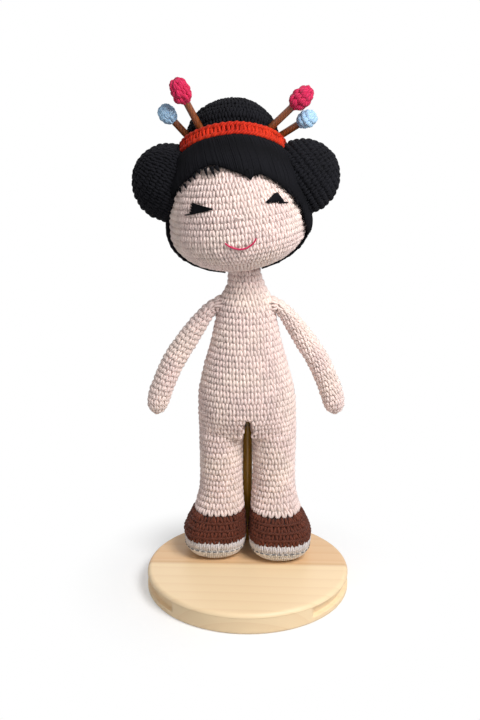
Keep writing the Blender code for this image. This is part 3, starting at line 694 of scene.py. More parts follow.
def stitch_tree() -> bpy.types.NodeTree:
    """Builds the tree that sets a V of two short plump yarns on every point.

    Returns:
        The tree.
    """
    tree, given = start_tree(
        "crochet_stitches",
        {
            "Backing": ("Object", None),
            "Leg Foot": ("Vector", (0, 0, 0)),
            "Leg Belly": ("Vector", (0, 0, 0)),
            "Leg Head": ("Vector", (0, 0, 0)),
            "Yarn Radius": ("Float", MM),
            "Yarn Sides": ("Int", 6),
            "Yarn Steps": ("Int", 5),
            "Turn Jitter": ("Float", 0.08),
            "Size Jitter": ("Float", 0.08),
            "Seed": ("Int", 1),
            "Material": ("Material", None),
        },
    )
    rail = add_node(
        tree,
        "GeometryNodeCurveQuadraticBezier",
        {
            "Resolution": given["Yarn Steps"],
            "Start": given["Leg Foot"],
            "Middle": given["Leg Belly"],
            "End": given["Leg Head"],
        },
    )
    run = add_node(tree, "GeometryNodeSplineParameter")
    half_turn = add_node(tree, MATH, {0: run.outputs["Factor"], 1: math.pi}, operation="MULTIPLY")
    swell = add_node(tree, MATH, {0: half_turn}, operation="SINE")
    plump = add_node(tree, MAP_RANGE, {"Value": swell, "To Min": 0.68, "To Max": 1.0})
    radius = add_node(tree, MATH, {0: plump, 1: given["Yarn Radius"]}, operation="MULTIPLY")
    leg = swept_yarn(tree, rail.outputs[0], given["Yarn Sides"], radius.outputs[0])
    other = add_node(tree, "GeometryNodeTransform", {"Geometry": leg, "Scale": (-1.0, 1.0, 1.0)})
    outward = add_node(tree, "GeometryNodeFlipFaces", {"Mesh": other})
    stitch = add_node(tree, "GeometryNodeJoinGeometry", {"Geometry": [leg, outward.outputs[0]]})
    marks = {}
    for name in ("stitch_out", "stitch_up", "stitch_size"):
        marks[name] = add_node(
            tree, "GeometryNodeInputNamedAttribute", {"Name": name}, data_type="FLOAT_VECTOR"
        ).outputs["Attribute"]
    facing = add_node(
        tree,
        "FunctionNodeAxesToRotation",
        {"Primary Axis": marks["stitch_out"], "Secondary Axis": marks["stitch_up"]},
        primary_axis="Z",
        secondary_axis="Y",
    )
    back = add_node(tree, MATH, {0: given["Turn Jitter"], 1: -1.0}, operation="MULTIPLY")
    sway = add_node(
        tree,
        RANDOM,
        {0: back, 1: given["Turn Jitter"], "Seed": given["Seed"]},
        data_type="FLOAT_VECTOR",
    )
    turned = add_node(
        tree,
        "FunctionNodeRotateRotation",
        {"Rotation": facing, "Rotate By": sway},
        rotation_space="LOCAL",
    )
    smallest = add_node(tree, MATH, {0: 1.0, 1: given["Size Jitter"]}, operation="SUBTRACT")
    largest = add_node(tree, MATH, {0: 1.0, 1: given["Size Jitter"]}, operation="ADD")
    growth = add_node(
        tree, RANDOM, {2: smallest, 3: largest, "Seed": given["Seed"]}, data_type="FLOAT"
    )
    size = add_node(
        tree, VECTOR_MATH, {0: marks["stitch_size"], "Scale": growth.outputs[1]}, operation="SCALE"
    )
    placed = add_node(
        tree,
        "GeometryNodeInstanceOnPoints",
        {"Points": given["Geometry"], "Instance": stitch, "Rotation": turned, "Scale": size},
    )
    shade = add_node(tree, RANDOM, {"Seed": given["Seed"]}, data_type="FLOAT")
    tinted = add_node(
        tree,
        STORE,
        {"Geometry": placed, "Name": "tint", "Value": shade.outputs[1]},
        data_type="FLOAT",
        domain="INSTANCE",
    )
    # The backing is marked with a tint far below any stitch's, so that it comes out darker: painted
    # shade in the gaps between the stitches
    backing = add_node(tree, "GeometryNodeObjectInfo", {"Object": given["Backing"]})
    painted_gap_shade = add_node(
        tree,
        STORE,
        {"Geometry": backing.outputs["Geometry"], "Name": "tint", "Value": -2.2},
        data_type="FLOAT",
        domain="POINT",
    )
    cloth = add_node(
        tree, "GeometryNodeJoinGeometry", {"Geometry": [tinted.outputs[0], painted_gap_shade.outputs[0]]}
    )
    return end_tree(tree, cloth.outputs[0], given["Material"])


def strand_tree() -> bpy.types.NodeTree:
    """Builds the tree that turns lines into yarns of varying thickness.

    Returns:
        The tree.
    """
    tree, given = start_tree(
        "laid_strands",
        {
            "Yarn Radius": ("Float", MM),
            "Yarn Sides": ("Int", 6),
            "Waver": ("Float", 0.2 * MM),
            "Waver Size": ("Float", 8 * MM),
            "Seed": ("Float", 0.0),
            "Material": ("Material", None),
        },
    )
    line = add_node(tree, "GeometryNodeMeshToCurve", {"Mesh": given["Geometry"]})
    place = add_node(tree, "GeometryNodeInputPosition")
    fine = add_node(tree, MATH, {0: 1.0, 1: given["Waver Size"]}, operation="DIVIDE")
    noise = add_node(
        tree,
        NOISE,
        {"Vector": place, "W": given["Seed"], "Scale": fine, "Detail": 1.0},
        noise_dimensions="4D",
    )
    centred = add_node(
        tree, VECTOR_MATH, {0: noise.outputs["Color"], 1: (0.5, 0.5, 0.5)}, operation="SUBTRACT"
    )
    shift = add_node(tree, VECTOR_MATH, {0: centred, "Scale": given["Waver"]}, operation="SCALE")
    moved = add_node(tree, "GeometryNodeSetPosition", {"Geometry": line, "Offset": shift})
    thickness = add_node(
        tree, "GeometryNodeInputNamedAttribute", {"Name": "thickness"}, data_type="FLOAT"
    )
    radius = add_node(
        tree,
        MATH,
        {0: thickness.outputs["Attribute"], 1: given["Yarn Radius"]},
        operation="MULTIPLY",
    )
    yarn = swept_yarn(tree, moved.outputs[0], given["Yarn Sides"], radius.outputs[0])
    return end_tree(tree, yarn, given["Material"])


STITCHES = stitch_tree()
STRANDS = strand_tree()


@dataclass
class Strand:
    """A laid yarn's points and its thickness at each, as a share of the yarn's radius."""

    points: list[Vector]
    thickness: list[float]
    closed: bool = False


def lay_strands(
    name: str, strands: list[Strand], yarn: CottonYarn, radius: float, **settings: object
) -> bpy.types.Object:
    """Lays yarns along lines as one piece.

    Args:
        name: The piece's name.
        strands: The lines.
        yarn: The finish.
        radius: The yarn's radius.
        settings: Other named inputs of the tree, with _ for each space.

    Returns:
        The piece.
    """
    places, lines, thickness = [], [], []
    for strand in strands:
        first = len(places)
        places += [tuple(point) for point in strand.points]
        thickness += strand.thickness
        lines += [(i, i + 1) for i in range(first, len(places) - 1)]
        if strand.closed:
            lines.append((len(places) - 1, first))
    mesh = bpy.data.meshes.new(name)
    mesh.from_pydata(places, lines, [])
    mesh.attributes.new("thickness", "FLOAT", "POINT").data.foreach_set("value", thickness)
    inputs = {key.replace("_", " "): value for key, value in settings.items()}
    inputs |= {"Yarn Radius": radius, "Material": yarn.material()}
    return grow(STRANDS, mesh, name, inputs)


def unit(vectors: np.ndarray) -> np.ndarray:
    """Vectors made one long."""
    return vectors / np.maximum(np.linalg.norm(vectors, axis=-1, keepdims=True), 1e-12)


def mesh_of_rings(
    name: str, rings: list, merge: float, around: bool = False, capped: bool = False
) -> bpy.types.Mesh:
    """Joins rings of points, each to the next, into one closed mesh.

    Args:
        name: The mesh's name.
        rings: The rings, each with as many points.
        merge: Points nearer than this become one.
        around: Whether the last ring is joined to the first.
        capped: Whether the first and the last ring are filled.

    Returns:
        The mesh.
    """
    bm = bmesh.new()
    spots = [[bm.verts.new(point) for point in ring] for ring in rings]
    count = len(spots[0])
    for low, high in zip(spots, spots[1:] + spots[:1] if around else spots[1:]):
        for i in range(count):
            j = (i + 1) % count
            bm.faces.new((low[i], low[j], high[j], high[i]))
    if capped:
        bm.faces.new(spots[0][::-1])
        bm.faces.new(spots[-1])
    bmesh.ops.remove_doubles(bm, verts=bm.verts, dist=merge)
    loose = [edge for edge in bm.edges if not edge.link_faces]
    bmesh.ops.delete(bm, geom=loose, context="EDGES")
    mesh = bpy.data.meshes.new(name)
    bm.to_mesh(mesh)
    bm.free()
    mesh.shade_smooth()
    return mesh


class Surface:
    """A smooth round form, kept as rings from its start to its end, evenly spaced."""

    def __init__(self, rings: np.ndarray) -> None:
        """Spaces the rings evenly along the form.

        Args:
            rings: Points as an array of rings by turns by three.
        """
        steps = np.linalg.norm(np.diff(rings, axis=0), axis=2).mean(axis=1)
        run = np.concatenate([[0.0], np.cumsum(steps)])
        self.length = float(run[-1])
        kept = np.linspace(0, self.length, KEPT_ROWS)
        flat = rings.reshape(len(rings), -1)
        self.rings = np.stack(
            [np.interp(kept, run, column) for column in flat.T], axis=1
        ).reshape(KEPT_ROWS, rings.shape[1], 3)

    def at(self, share: np.ndarray, turn: np.ndarray) -> np.ndarray:
        """Points on the form.

        Args:
            share: How far along the form, from 0 to 1.
            turn: How far round it, in turns.

        Returns:
            The points.
        """
        rows, columns = self.rings.shape[:2]
        row = np.clip(share, 0, 1) * (rows - 1)
        low = np.minimum(row.astype(int), rows - 2)
        rise = (row - low)[:, None]
        column = np.mod(turn, 1.0) * columns
        left = column.astype(int) % columns
        right = (left + 1) % columns
        reach = (column - np.floor(column))[:, None]
        lower = self.rings[low, left] * (1 - reach) + self.rings[low, right] * reach
        upper = self.rings[low + 1, left] * (1 - reach) + self.rings[low + 1, right] * reach
        return lower * (1 - rise) + upper * rise

    def axes(self, share: np.ndarray, turn: np.ndarray) -> tuple[np.ndarray, ...]:
        """Outward and upward directions, and the form's length for a whole share.

        Args:
            share: How far along the form, from 0 to 1.
            turn: How far round it, in turns.

        Returns:
            Outward directions, upward directions and the local length.
        """
        step = 1 / KEPT_ROWS
        above = np.clip(share + step, 0, 1)
        below = np.clip(share - step, 0, 1)
        rise = self.at(above, turn) - self.at(below, turn)
        round_way = self.at(share, turn + step) - self.at(share, turn - step)
        outward = unit(np.cross(round_way, rise))
        upward = unit(rise)
        stretch = np.linalg.norm(rise, axis=1) / (above - below)
        return outward, upward, stretch

    def offset(self, distance: float) -> "Surface":
        """The form grown outwards, or drawn in by a distance below zero."""
        rows, columns = self.rings.shape[:2]
        share = np.repeat(np.linspace(0, 1, rows), columns)
        turn = np.tile(np.arange(columns) / columns, rows)
        outward = self.axes(share, turn)[0].reshape(rows, columns, 3)
        # A pole faces the way that the ring beside it does
        for end, beside in ((0, 1), (-1, -2)):
            if np.linalg.norm(outward[end], axis=1).min() < 0.5:
                outward[end] = unit(outward[beside].mean(axis=0))
        return Surface(self.rings + outward * distance)

    def share_at_height(self, height: float) -> float:
        """The share along the form at which its rings reach a height."""
        levels = self.rings[:, :, 2].mean(axis=1)
        return float(np.interp(height, levels, np.linspace(0, 1, len(levels))))

    def rows_of_stitches(
        self, start: float, end: float, gauge: "Gauge", rows: int | None = None
    ) -> tuple[np.ndarray, ...]:
        """Places for rows of stitches, each row a closed round.

        Args:
            start: Share of the form where the rows begin.
            end: Share where they end.
            gauge: The stitch's size.
            rows: How many rows, or None for as many as the gauge gives.

        Returns:
            Places, outward directions, upward directions and sizes by width and height.
        """
        if rows is None:
            rows = max(1, round((end - start) * self.length / gauge.height))
        around = np.linspace(0, 1, 2 * KEPT_TURNS + 1)
        shares, turns, widths = [], [], []
        for row in range(rows):
            foot = start + (end - start) * row / rows
            middle = foot + (end - start) / rows / 2
            ring = self.at(np.full_like(around, middle), around)
            run = np.concatenate([[0.0], np.cumsum(np.linalg.norm(np.diff(ring, axis=0), axis=1))])
            if run[-1] < gauge.yarn:
                continue
            count = max(gauge.fewest, round(run[-1] / gauge.width))
            first = (row * gauge.drift) % 1.0
            at = (np.arange(count) + first) / count * run[-1]
            turns.append(np.interp(at, run, around))
            shares.append(np.full(count, foot))
            widths.append(np.full(count, run[-1] / count / gauge.width))
        share, turn, width = map(np.concatenate, (shares, turns, widths))
        outward, upward, stretch = self.axes(share + (end - start) / rows / 2, turn)
        height = stretch * (end - start) / rows / gauge.height
        sizes = np.stack([width, height, np.ones_like(width)], axis=1)
        return self.at(share, turn), outward, upward, sizes

    def ring(self, share: float) -> np.ndarray:
        """The points of one ring of a plain mesh."""
        return self.at(np.full(MESH_TURNS, share), np.arange(MESH_TURNS) / MESH_TURNS)

    def shell(
        self, name: str, start: float, end: float, skin: float, wall: float
    ) -> bpy.types.Mesh:
        """A thin closed cloth under the stitches, open at its ends unless they are poles.

        Args:
            name: The mesh's name.
            start: Share of the form where the cloth begins.
            end: Share where it ends.
            skin: How far under the form its outside lies.
            wall: How thick it is.

        Returns:
            The mesh.
        """
        shares = np.linspace(start, end, max(4, round((end - start) * self.length / MESH_STEP)))
        outer, inner = self.offset(-skin), self.offset(-skin - wall)
        rings = [outer.ring(share) for share in shares]
        rings += [inner.ring(share) for share in shares[::-1]]
        return mesh_of_rings(name, rings, MERGED, around=True)

    def solid(self, name: str, inset: float) -> bpy.types.Mesh:
        """The whole form drawn in, as one closed mesh with flat or pointed ends."""
        form = self.offset(-inset)
        shares = np.linspace(0, 1, max(8, round(self.length / MESH_STEP)))
        return mesh_of_rings(name, [form.ring(share) for share in shares], MERGED, capped=True)


@dataclass(frozen=True)
class Gauge:
    """A stitch's size, its yarn and how each row shifts against the one below."""

    width: float = 4.15 * MM
    height: float = 3.6 * MM
    yarn: float = 0.96 * MM
    proud: float = 0.15 * MM
    drift: float = 0.22
    fewest: int = 3
    sides: int = 6
    steps: int = 5
    turn_jitter: float = 0.07
    size_jitter: float = 0.06


FINE_GAUGE = Gauge(width=3.7 * MM, height=3.5 * MM, yarn=1.35 * MM, turn_jitter=0.1)


def crochet(
    name: str,
    surface: Surface,
    span: tuple[float, float],
    gauge: Gauge,
    yarn: CottonYarn,
    seed: int,
    worked: Worked = Worked.UPWARDS,
    keep: Callable[[np.ndarray], np.ndarray] | None = None,
    backing: bpy.types.Mesh | None = None,
    rows: int | None = None,
) -> bpy.types.Object:
    """Works a piece of cloth: rounds of V stitches over a thin backing, which is darkened as
    painted shade in the gaps between them.

    Args:
        name: The piece's name.
        surface: The form that the stitches' outsides follow.
        span: The shares of the form between which it is worked.
        gauge: The stitch's size.
        yarn: The finish.
        seed: Seed of the stitches' small differences.
        worked: Which way the stitches point.
        keep: Says which of the places get a stitch.
        backing: The cloth behind the stitches, darkened as painted shade, or None for one that
            follows the form.
        rows: How many rounds, or None for as many as the gauge gives.

    Returns:
        The piece.
    """
    start, end = span
    places, outward, upward, sizes = surface.rows_of_stitches(start, end, gauge, rows)
    depth = 1.25 * gauge.yarn - gauge.proud
    if worked is Worked.DOWNWARDS:
        places = places + upward * (sizes[:, 1:2] * gauge.height)
        upward = -upward
    if keep is not None:
        kept = keep(places)
        places, outward, upward, sizes = (
            values[kept] for values in (places, outward, upward, sizes)
        )
    places = places - outward * depth
    mesh = bpy.data.meshes.new(name)
    mesh.from_pydata(places.tolist(), [], [])
    for label, values in (("stitch_out", outward), ("stitch_up", upward), ("stitch_size", sizes)):
        mark = mesh.attributes.new(label, "FLOAT_VECTOR", "POINT")
        mark.data.foreach_set("vector", values.ravel())
    if backing is None:
        backing = surface.shell(f"{name}_backing", start, end, 1.1 * gauge.yarn, 0.7 * gauge.yarn)
    cloth = add_object(f"{name}_backing", backing)
    size = (gauge.width, gauge.height, gauge.yarn)
    leg = {part: tuple(a * b for a, b in zip(at, size)) for part, at in STITCH_LEG.items()}
    piece = grow(
        STITCHES,
        mesh,
        name,
        {
            "Backing": cloth,
            **leg,
            "Yarn Radius": gauge.yarn,
            "Yarn Sides": gauge.sides,
            "Yarn Steps": gauge.steps,
            "Turn Jitter": gauge.turn_jitter,
            "Size Jitter": gauge.size_jitter,
            "Seed": seed,
            "Material": yarn.material(),
        },
    )
    bpy.data.objects.remove(cloth, do_unlink=True)
    LOG.info("%s: %d stitches, %d faces", name, len(places), len(piece.data.polygons))
    return piece


def round_of_yarn(
    surface: Surface, share: float, radius: float, proud: float, bumps: int, swell: float
) -> Strand:
    """A yarn laid right round a form, plump and thin by turns.

    Args:
        surface: The form.
        share: How far along the form it lies.
        radius: The yarn's radius.
        proud: How far it stands out of the form.
        bumps: How often it swells in a turn.
        swell: By how much, as a share of the radius.

    Returns:
        The closed line.
    """
    count = bumps * 6
    shares, turns = np.full(count, share), np.arange(count) / count
    out = surface.axes(shares, turns)[0]
    points = surface.at(shares, turns) - out * (radius - proud)
    thickness = 1 + swell * np.cos(FULL_TURN * turns * bumps)
    return Strand([Vector(point) for point in points], list(thickness), closed=True)


@dataclass
class Station:
    """A place on a form's spine: rays leave it round its direction, tilted towards it."""

    place: Vector
    along: Vector
    tilt: float = 0.0


def tree_of(nodes: list[str]) -> BVHTree:
    """A ray target made of CAD nodes."""
    places, faces = [], []
    for node in nodes:
        mesh = frame["nodes"][node].data
        first = len(places)
        places += [vertex.co.copy() for vertex in mesh.vertices]
        faces += [[first + i for i in face.vertices] for face in mesh.polygons]
    return BVHTree.FromPolygons(places, faces)


def measure(
    nodes: list[str], stations: list[Station], across: Vector = ASIDE, harmonics: int = 4
) -> np.ndarray:
    """Measures a form's outside on CAD nodes and smooths away its facets.

    Args:
        nodes: The CAD nodes.
        stations: Where the rays leave from.
        across: The direction of the first ray.
        harmonics: How many bends the outline keeps in a turn.

    Returns:
        Rings of points.
    """
    target = tree_of(nodes)
    reach = np.full((len(stations), RAYS), np.nan)
    ways = np.zeros((len(stations), RAYS, 3))
    for row, station in enumerate(stations):
        side = (across - station.along * across.dot(station.along)).normalized()
        other = station.along.cross(side)
        for column in range(RAYS):
            angle = FULL_TURN * column / RAYS
            level = side * math.cos(angle) + other * math.sin(angle)
            way = level * math.cos(station.tilt) + station.along * math.sin(station.tilt)
            ways[row, column] = way
            hit = target.ray_cast(station.place + way * REACH, -way, REACH)
            if hit[0] is not None:
                reach[row, column] = REACH - hit[3]
    for column in reach.T:
        good = np.isfinite(column)
        rows = np.arange(len(column))
        column[:] = np.interp(rows, rows[good], column[good])
    padded = np.pad(reach, ((1, 1), (0, 0)), mode="edge")
    reach = np.median(np.stack([padded[:-2], padded[1:-1], padded[2:]]), axis=0)
    waves = np.fft.rfft(reach, axis=1)
    waves[:, harmonics + 1 :] = 0
    turns = np.fft.irfft(waves, RAYS, axis=1)
    places = np.array([tuple(station.place) for station in stations])
    return places[:, None, :] + ways * turns[:, :, None]


def flat_end(rings: np.ndarray, middle: np.ndarray | None = None) -> np.ndarray:
    """Closes a form's start with a flat face that runs to its centre, or to a given middle."""
    centre = rings[0].mean(axis=0) if middle is None else middle
    shares = (0.0, 0.3, 0.55, 0.78, 0.93)
    return np.concatenate([[centre + (rings[0] - centre) * s for s in shares], rings])


def along_line(start: Vector, end: Vector, count: int) -> list[Vector]:
    """Evenly spaced points of a straight line."""
    return [start.lerp(end, i / (count - 1)) for i in range(count)]


def polar_stations(
    centre: Vector, axis: Vector, low: float, high: float, count: int
) -> list[Station]:
    """Stations that share a centre, from one latitude to another in degrees."""
    return [
        Station(centre, axis, math.radians(low + (high - low) * i / (count - 1)))
        for i in range(count)
    ]


def joint(name: str) -> dict:
    """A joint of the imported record, by name."""
    return next(item for item in frame["joints"] if item["name"] == name)


def settle(
    piece: bpy.types.Object, body: str, slot: str, *nodes: str, fill: float | None = None
) -> None:
    """Parents a finished piece to its body and hides the CAD nodes that it stands for.

    Args:
        piece: The piece.
        body: The body that it rides on.
        slot: The record's material slot; not used.
        nodes: The CAD nodes that it stands for.
        fill: How tightly it is stuffed, where it is a stuffed piece; not used.
    """
    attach(piece, body)
    if nodes:
        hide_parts(*nodes)
    LOG.info("%s rides on %s", piece.name, body)


def stuff(name: str, surface: Surface, inset: float, body: str) -> None:
    """Fills a form with wadding, in place of its CAD filling."""
    wadding = add_object(f"{name}_wadding", surface.solid(f"{name}_wadding", inset), WADDING)
    settle(wadding, body, "stuffing", f"{name}_filling", fill=WADDING.fill)


@dataclass
class Torso:
    """The torso and neck, worked upwards in rounds over wadding and parted between the legs."""

    gauge: Gauge = Gauge()
    fill: float = 0.9
    stuffing_inset: float = 3.6 * MM
    neck_above: float = 2.5 * MM
    lap: float = 1.7 * MM
    parting: float = 10.5 * MM
    parting_half: float = 3.4 * MM
    parting_floor: float = 3.0 * MM
    parting_wall: float = 0.1 * MM
    parting_clear: float = 8.0 * MM

    def build(self) -> None:
        """Works the torso and fills it."""
        low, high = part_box("torso_skin")
        neck = Vector(joint("head_turn")["pos_m"])
        axis = Vector(joint("head_turn")["axis"])
        foot = Vector(((low.x + high.x) / 2, (low.y + high.y) / 2, low.z))
        spine = along_line(foot + UP * 0.3 * MM, neck - UP * 1.5 * MM, 60)
        rings = measure(["torso_skin"], [Station(place, UP) for place in spine])
        top = rings[-1] + np.array(axis) * self.neck_above
        hem = rings[0] - np.array(UP) * self.lap
        rings = np.concatenate([[hem], rings, [top]])
        whole = rings.copy()
        rod = (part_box("stand_rod")[0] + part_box("stand_rod")[1]) / 2
        surface = Surface(flat_end(rings, self.part(rings, rod)))

        def outside(places: np.ndarray) -> np.ndarray:
            """Says which stitches lie out of the parting."""
            away = np.hypot(places[:, 0] - rod.x, places[:, 1] - rod.y)
            return (away > self.parting_clear) | (places[:, 2] > low.z + self.parting)

        edge = surface.share_at_height(hem[:, 2].mean() + 0.05 * MM)
        cloth = surface.shell(
            "torso_backing", 0.0, 1.0, 1.1 * self.gauge.yarn, 0.7 * self.gauge.yarn
        )
        piece = crochet(
            "torso_crochet",
            surface,
            (edge, 1.0),
            self.gauge,
            SKIN_COTTON,
            seed=3,
            keep=outside,
            backing=cloth,
        )
        settle(piece, "doll", "skin_cotton", "torso_skin", fill=self.fill)
        above = whole[:, :, 2].mean(axis=1) > low.z + self.parting
        stuff("torso", Surface(flat_end(whole[above])), self.stuffing_inset, "doll")

    def part(self, rings: np.ndarray, rod: Vector) -> np.ndarray:
        """Draws the lowest rings in between the legs, in front and behind, to past the rod.

        Args:
            rings: The torso's rings, which are changed.
            rod: The rod's middle.

        Returns:
            Where the front parting meets the one behind, at the hem.
        """
        between = (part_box("left_leg_skin")[0].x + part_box("right_leg_skin")[1].x) / 2
        for ring in rings:
            rise = (ring[0, 2] - rings[0, 0, 2]) / self.parting
            depth = max(0.0, 1 - rise**8)
            for middle, way in ((3 * RAYS // 4, -1), (RAYS // 4, 1)):
                floor = rod.y + self.parting_floor + way * self.parting_wall
                ring[middle, 1] += (floor - ring[middle, 1]) * depth
                ring[middle, 0] += (between - ring[middle, 0]) * depth
                for beside in (middle - 1, middle + 1):
                    half = math.copysign(self.parting_half, ring[beside, 0] - between)
                    ring[beside, 0] += (between + half - ring[beside, 0]) * depth
        return np.array([between, rod.y + self.parting_floor, rings[0, 0, 2]])


@dataclass
class Leg:
    """A leg with its shoe, worked upwards from the sole in four yarns."""

    side: Side
    gauge: Gauge = Gauge()
    shoe_gauge: Gauge = Gauge(width=4.3 * MM, height=4.2 * MM, yarn=1.1 * MM, turn_jitter=0.15)
    rim_gauge: Gauge = Gauge(width=2.7 * MM, height=4.6 * MM, yarn=0.72 * MM, drift=0.0)
    sole_gauge: Gauge = Gauge(width=2.6 * MM, height=2.6 * MM, yarn=0.66 * MM)
    lap: float = 0.8 * MM
    ridge: float = 1.0 * MM
    ridge_proud: float = 0.40 * MM
    ridge_bumps: int = 30
    seam_radius: float = 0.30 * MM
    seam_height: float = 7.0 * MM
    seam_stitches: int = 38
    fill: float = 0.9
    stuffing_inset: float = 2.6 * MM

    def surface(self) -> Surface:
        """Measures the leg from the sole's underside to its top."""
        word = self.side.word
        nodes = [f"{word}_{part}" for part in ("shoe_sole", "shoe_upper", "leg_skin")]
        sole_low, sole_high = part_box(nodes[0])
        leg_low, leg_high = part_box(nodes[2])
        foot = (sole_low + sole_high) / 2
        top = (leg_low + leg_high) / 2
        foot.z, top.z = sole_low.z + 0.1 * MM, leg_high.z - 0.1 * MM
        spine = along_line(foot, top, 54)
        stations = [Station(place, UP) for place in spine]
        return Surface(flat_end(measure(nodes, stations, harmonics=6)))

    def build(self) -> None:
        """Works the leg and its shoe and fills them."""
        word = self.side.word
        surface = self.surface()
        sole_low, sole_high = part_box(f"{word}_shoe_sole")
        hem = surface.share_at_height(sole_high.z)
        seam = surface.share_at_height(sole_low.z + self.seam_height)
        collar = surface.share_at_height(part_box(f"{word}_shoe_upper")[1].z)
        lap = self.lap / surface.length
        seed = 20 + self.side.value
        leg = crochet(
            f"{word}_leg_crochet", surface, (collar - lap, 1.0), self.gauge, SKIN_COTTON, seed
        )
        settle(leg, "doll", "skin_cotton", f"{word}_leg_skin", fill=self.fill)
        upper = crochet(
            f"{word}_shoe_crochet",
            surface,
            (hem, collar - lap),
            self.shoe_gauge,
            BROWN_COTTON,
            seed + 4,
        )
        settle(upper, "doll", "brown_cotton", f"{word}_shoe_upper", fill=self.fill)
        sole = crochet(
            f"{word}_sole_crochet", surface, (0.0, seam), self.sole_gauge, SOLE_COTTON, seed + 8
        )
        settle(sole, "doll", "sole_cotton", f"{word}_shoe_sole", fill=self.fill)
        rim = crochet(
            f"{word}_sole_rim_crochet",
            surface,
            (seam, hem + lap),
            self.rim_gauge,
            STONE_COTTON,
            seed + 12,
            worked=Worked.DOWNWARDS,
            rows=1,
        )
        settle(rim, "doll", "sole_cotton", fill=self.fill)
        self.lay_ridges(surface, hem, collar - lap)
        self.lay_seam(surface, seam)
        stuff(f"{word}_leg", surface, self.stuffing_inset, "doll")

    def lay_ridges(self, surface: Surface, start: float, end: float) -> None:
        """Lays a plump ridge over the foot of each of the shoe's rows but the first."""
        rows = round((end - start) * surface.length / self.shoe_gauge.height)
        rounds = [
            round_of_yarn(
                surface,
                start + (end - start) * row / rows,
                self.ridge,
                self.ridge_proud,
                self.ridge_bumps,
                0.22,
            )
            for row in range(1, rows)
        ]
        ridges = lay_strands(
            f"{self.side.word}_shoe_ridges",
            rounds,
            BROWN_COTTON,
            self.ridge,
            Waver=0.8 * MM,
            Waver_Size=5 * MM,
        )
        settle(ridges, "doll", "brown_cotton")

    def lay_seam(self, surface: Surface, share: float) -> None:
        """Runs a slate thread round the sole in running stitches."""
        strands = []
        for k in range(self.seam_stitches):
            turns = (k + np.linspace(0.1, 0.75, 5)) / self.seam_stitches
            shares = np.full(5, share)
            points = surface.at(shares, turns) + surface.axes(shares, turns)[0] * 0.05 * MM
            strands.append(Strand([Vector(p) for p in points], [0.6, 1.0, 1.0, 1.0, 0.6]))
        seam = lay_strands(
            f"{self.side.word}_sole_seam",
            strands,
            SEAM_COTTON,
            self.seam_radius,
            Waver=0.4 * MM,
            Waver_Size=4 * MM,
        )
        settle(seam, "doll", "sole_cotton")


@dataclass
class Arm:
    """An arm, worked from the hand to the shoulder, where it is sewn against the torso."""

    side: Side
    gauge: Gauge = Gauge(width=3.8 * MM, height=3.4 * MM, yarn=0.90 * MM)
    hand_round: float = 6.6 * MM
    handle: float = 22 * MM
    widest: float = 14 * MM
    places: int = 42
    passes: int = 8
    clear: float = 0.1 * MM
    longest_reach: float = 9.0 * MM
    climb: float = 0.45
    slope: float = 0.55
    slope_from: float = 0.50
    fill: float = 0.9
    stuffing_inset: float = 2.5 * MM

    def stations(self) -> list[Station]:
        """Finds the arm's curved middle, from the hand to square against the shoulder."""
        word, sign = self.side.word, self.side.value
        target = tree_of([f"{word}_arm_skin"])
        low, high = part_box(f"{word}_arm_skin")
        shoulder = Vector(joint(f"{word}_arm_swing")["pos_m"])
        outside = high.x if self.side is Side.LEFT else low.x
        hand = Vector((outside - sign * self.hand_round, shoulder.y, low.z))
        hand.z += self.hand_round
        inwards = Vector((-sign, 0, 0))
        handles = (hand + UP * self.handle, shoulder - inwards * self.handle)
        spine = interpolate_bezier(hand, *handles, shoulder - inwards * 0.4 * MM, self.places)
        for _ in range(self.passes):
            middles = []
            for before, place, after in zip(spine, spine[1:], spine[2:]):
                across = (after - before).normalized().cross(BACK) * self.widest
                hits = [target.ray_cast(place + way, -way) for way in (across, -across)]
                edges = [hit[0] for hit in hits if hit[0] is not None and hit[3] < self.widest]
                middles.append(sum(edges, Vector()) / 2 if len(edges) == 2 else place)
            line = [spine[0], *middles, spine[-1]]
            spine[1:-1] = [
                (before + 2 * place + after) / 4
                for before, place, after in zip(line, line[1:], line[2:])
            ]
        first = (spine[1] - spine[0]).normalized()
        stations = [Station(hand, first, math.radians(tilt)) for tilt in range(-90, 0, 12)]
        for before, place, after in zip(spine, spine[1:], spine[2:]):
            stations.append(Station(place, (after - before).normalized()))
        return [*stations, Station(spine[-1], inwards)]

    def to_torso(self, rim: np.ndarray) -> np.ndarray:
        """Carries the arm's end on to just short of the torso, its top upwards along the slope.

        Args:
            rim: The arm's last ring.

        Returns:
            One more ring.
        """
        torso = tree_of(["torso_skin"])
        inwards = Vector((-self.side.value, 0, 0))
        rises = rim[:, 2] - rim[:, 2].mean()
        carried = []
        for point, rise in zip(rim, rises / rises.max()):
            way = (inwards + UP * self.climb * max(0.0, rise)).normalized()
            hit = torso.ray_cast(Vector(point), way, self.longest_reach)
            reach = self.longest_reach if hit[0] is None else hit[3]
            carried.append(Vector(point) + way * max(0.2 * MM, reach - self.clear))
        return np.array([[tuple(place) for place in carried]])

    def build(self) -> None:
        """Works the arm and fills it."""
        word = self.side.word
        stations = self.stations()
        rings = measure([f"{word}_arm_skin"], stations, BACK, 2)
        for row, (ring, station) in enumerate(zip(rings, stations)):
            past = (row / (len(stations) - 1) - self.slope_from) / (1 - self.slope_from)
            outer = np.array(BACK.cross(station.along) * self.side.value)
            over = np.maximum((ring - np.array(station.place)) @ outer, 0.0)
            ring -= over[:, None] * outer * self.slope * max(0.0, past)
        surface = Surface(np.concatenate([rings, self.to_torso(rings[-2])]))
        arm = crochet(
            f"{word}_arm_crochet",
            surface,
            (0.0, 1.0),
            self.gauge,
            SKIN_COTTON,
            seed=40 + self.side.value,
        )
        settle(arm, f"{word}_arm", "skin_cotton", f"{word}_arm_skin", fill=self.fill)
        stuff(f"{word}_arm", surface, self.stuffing_inset, f"{word}_arm")


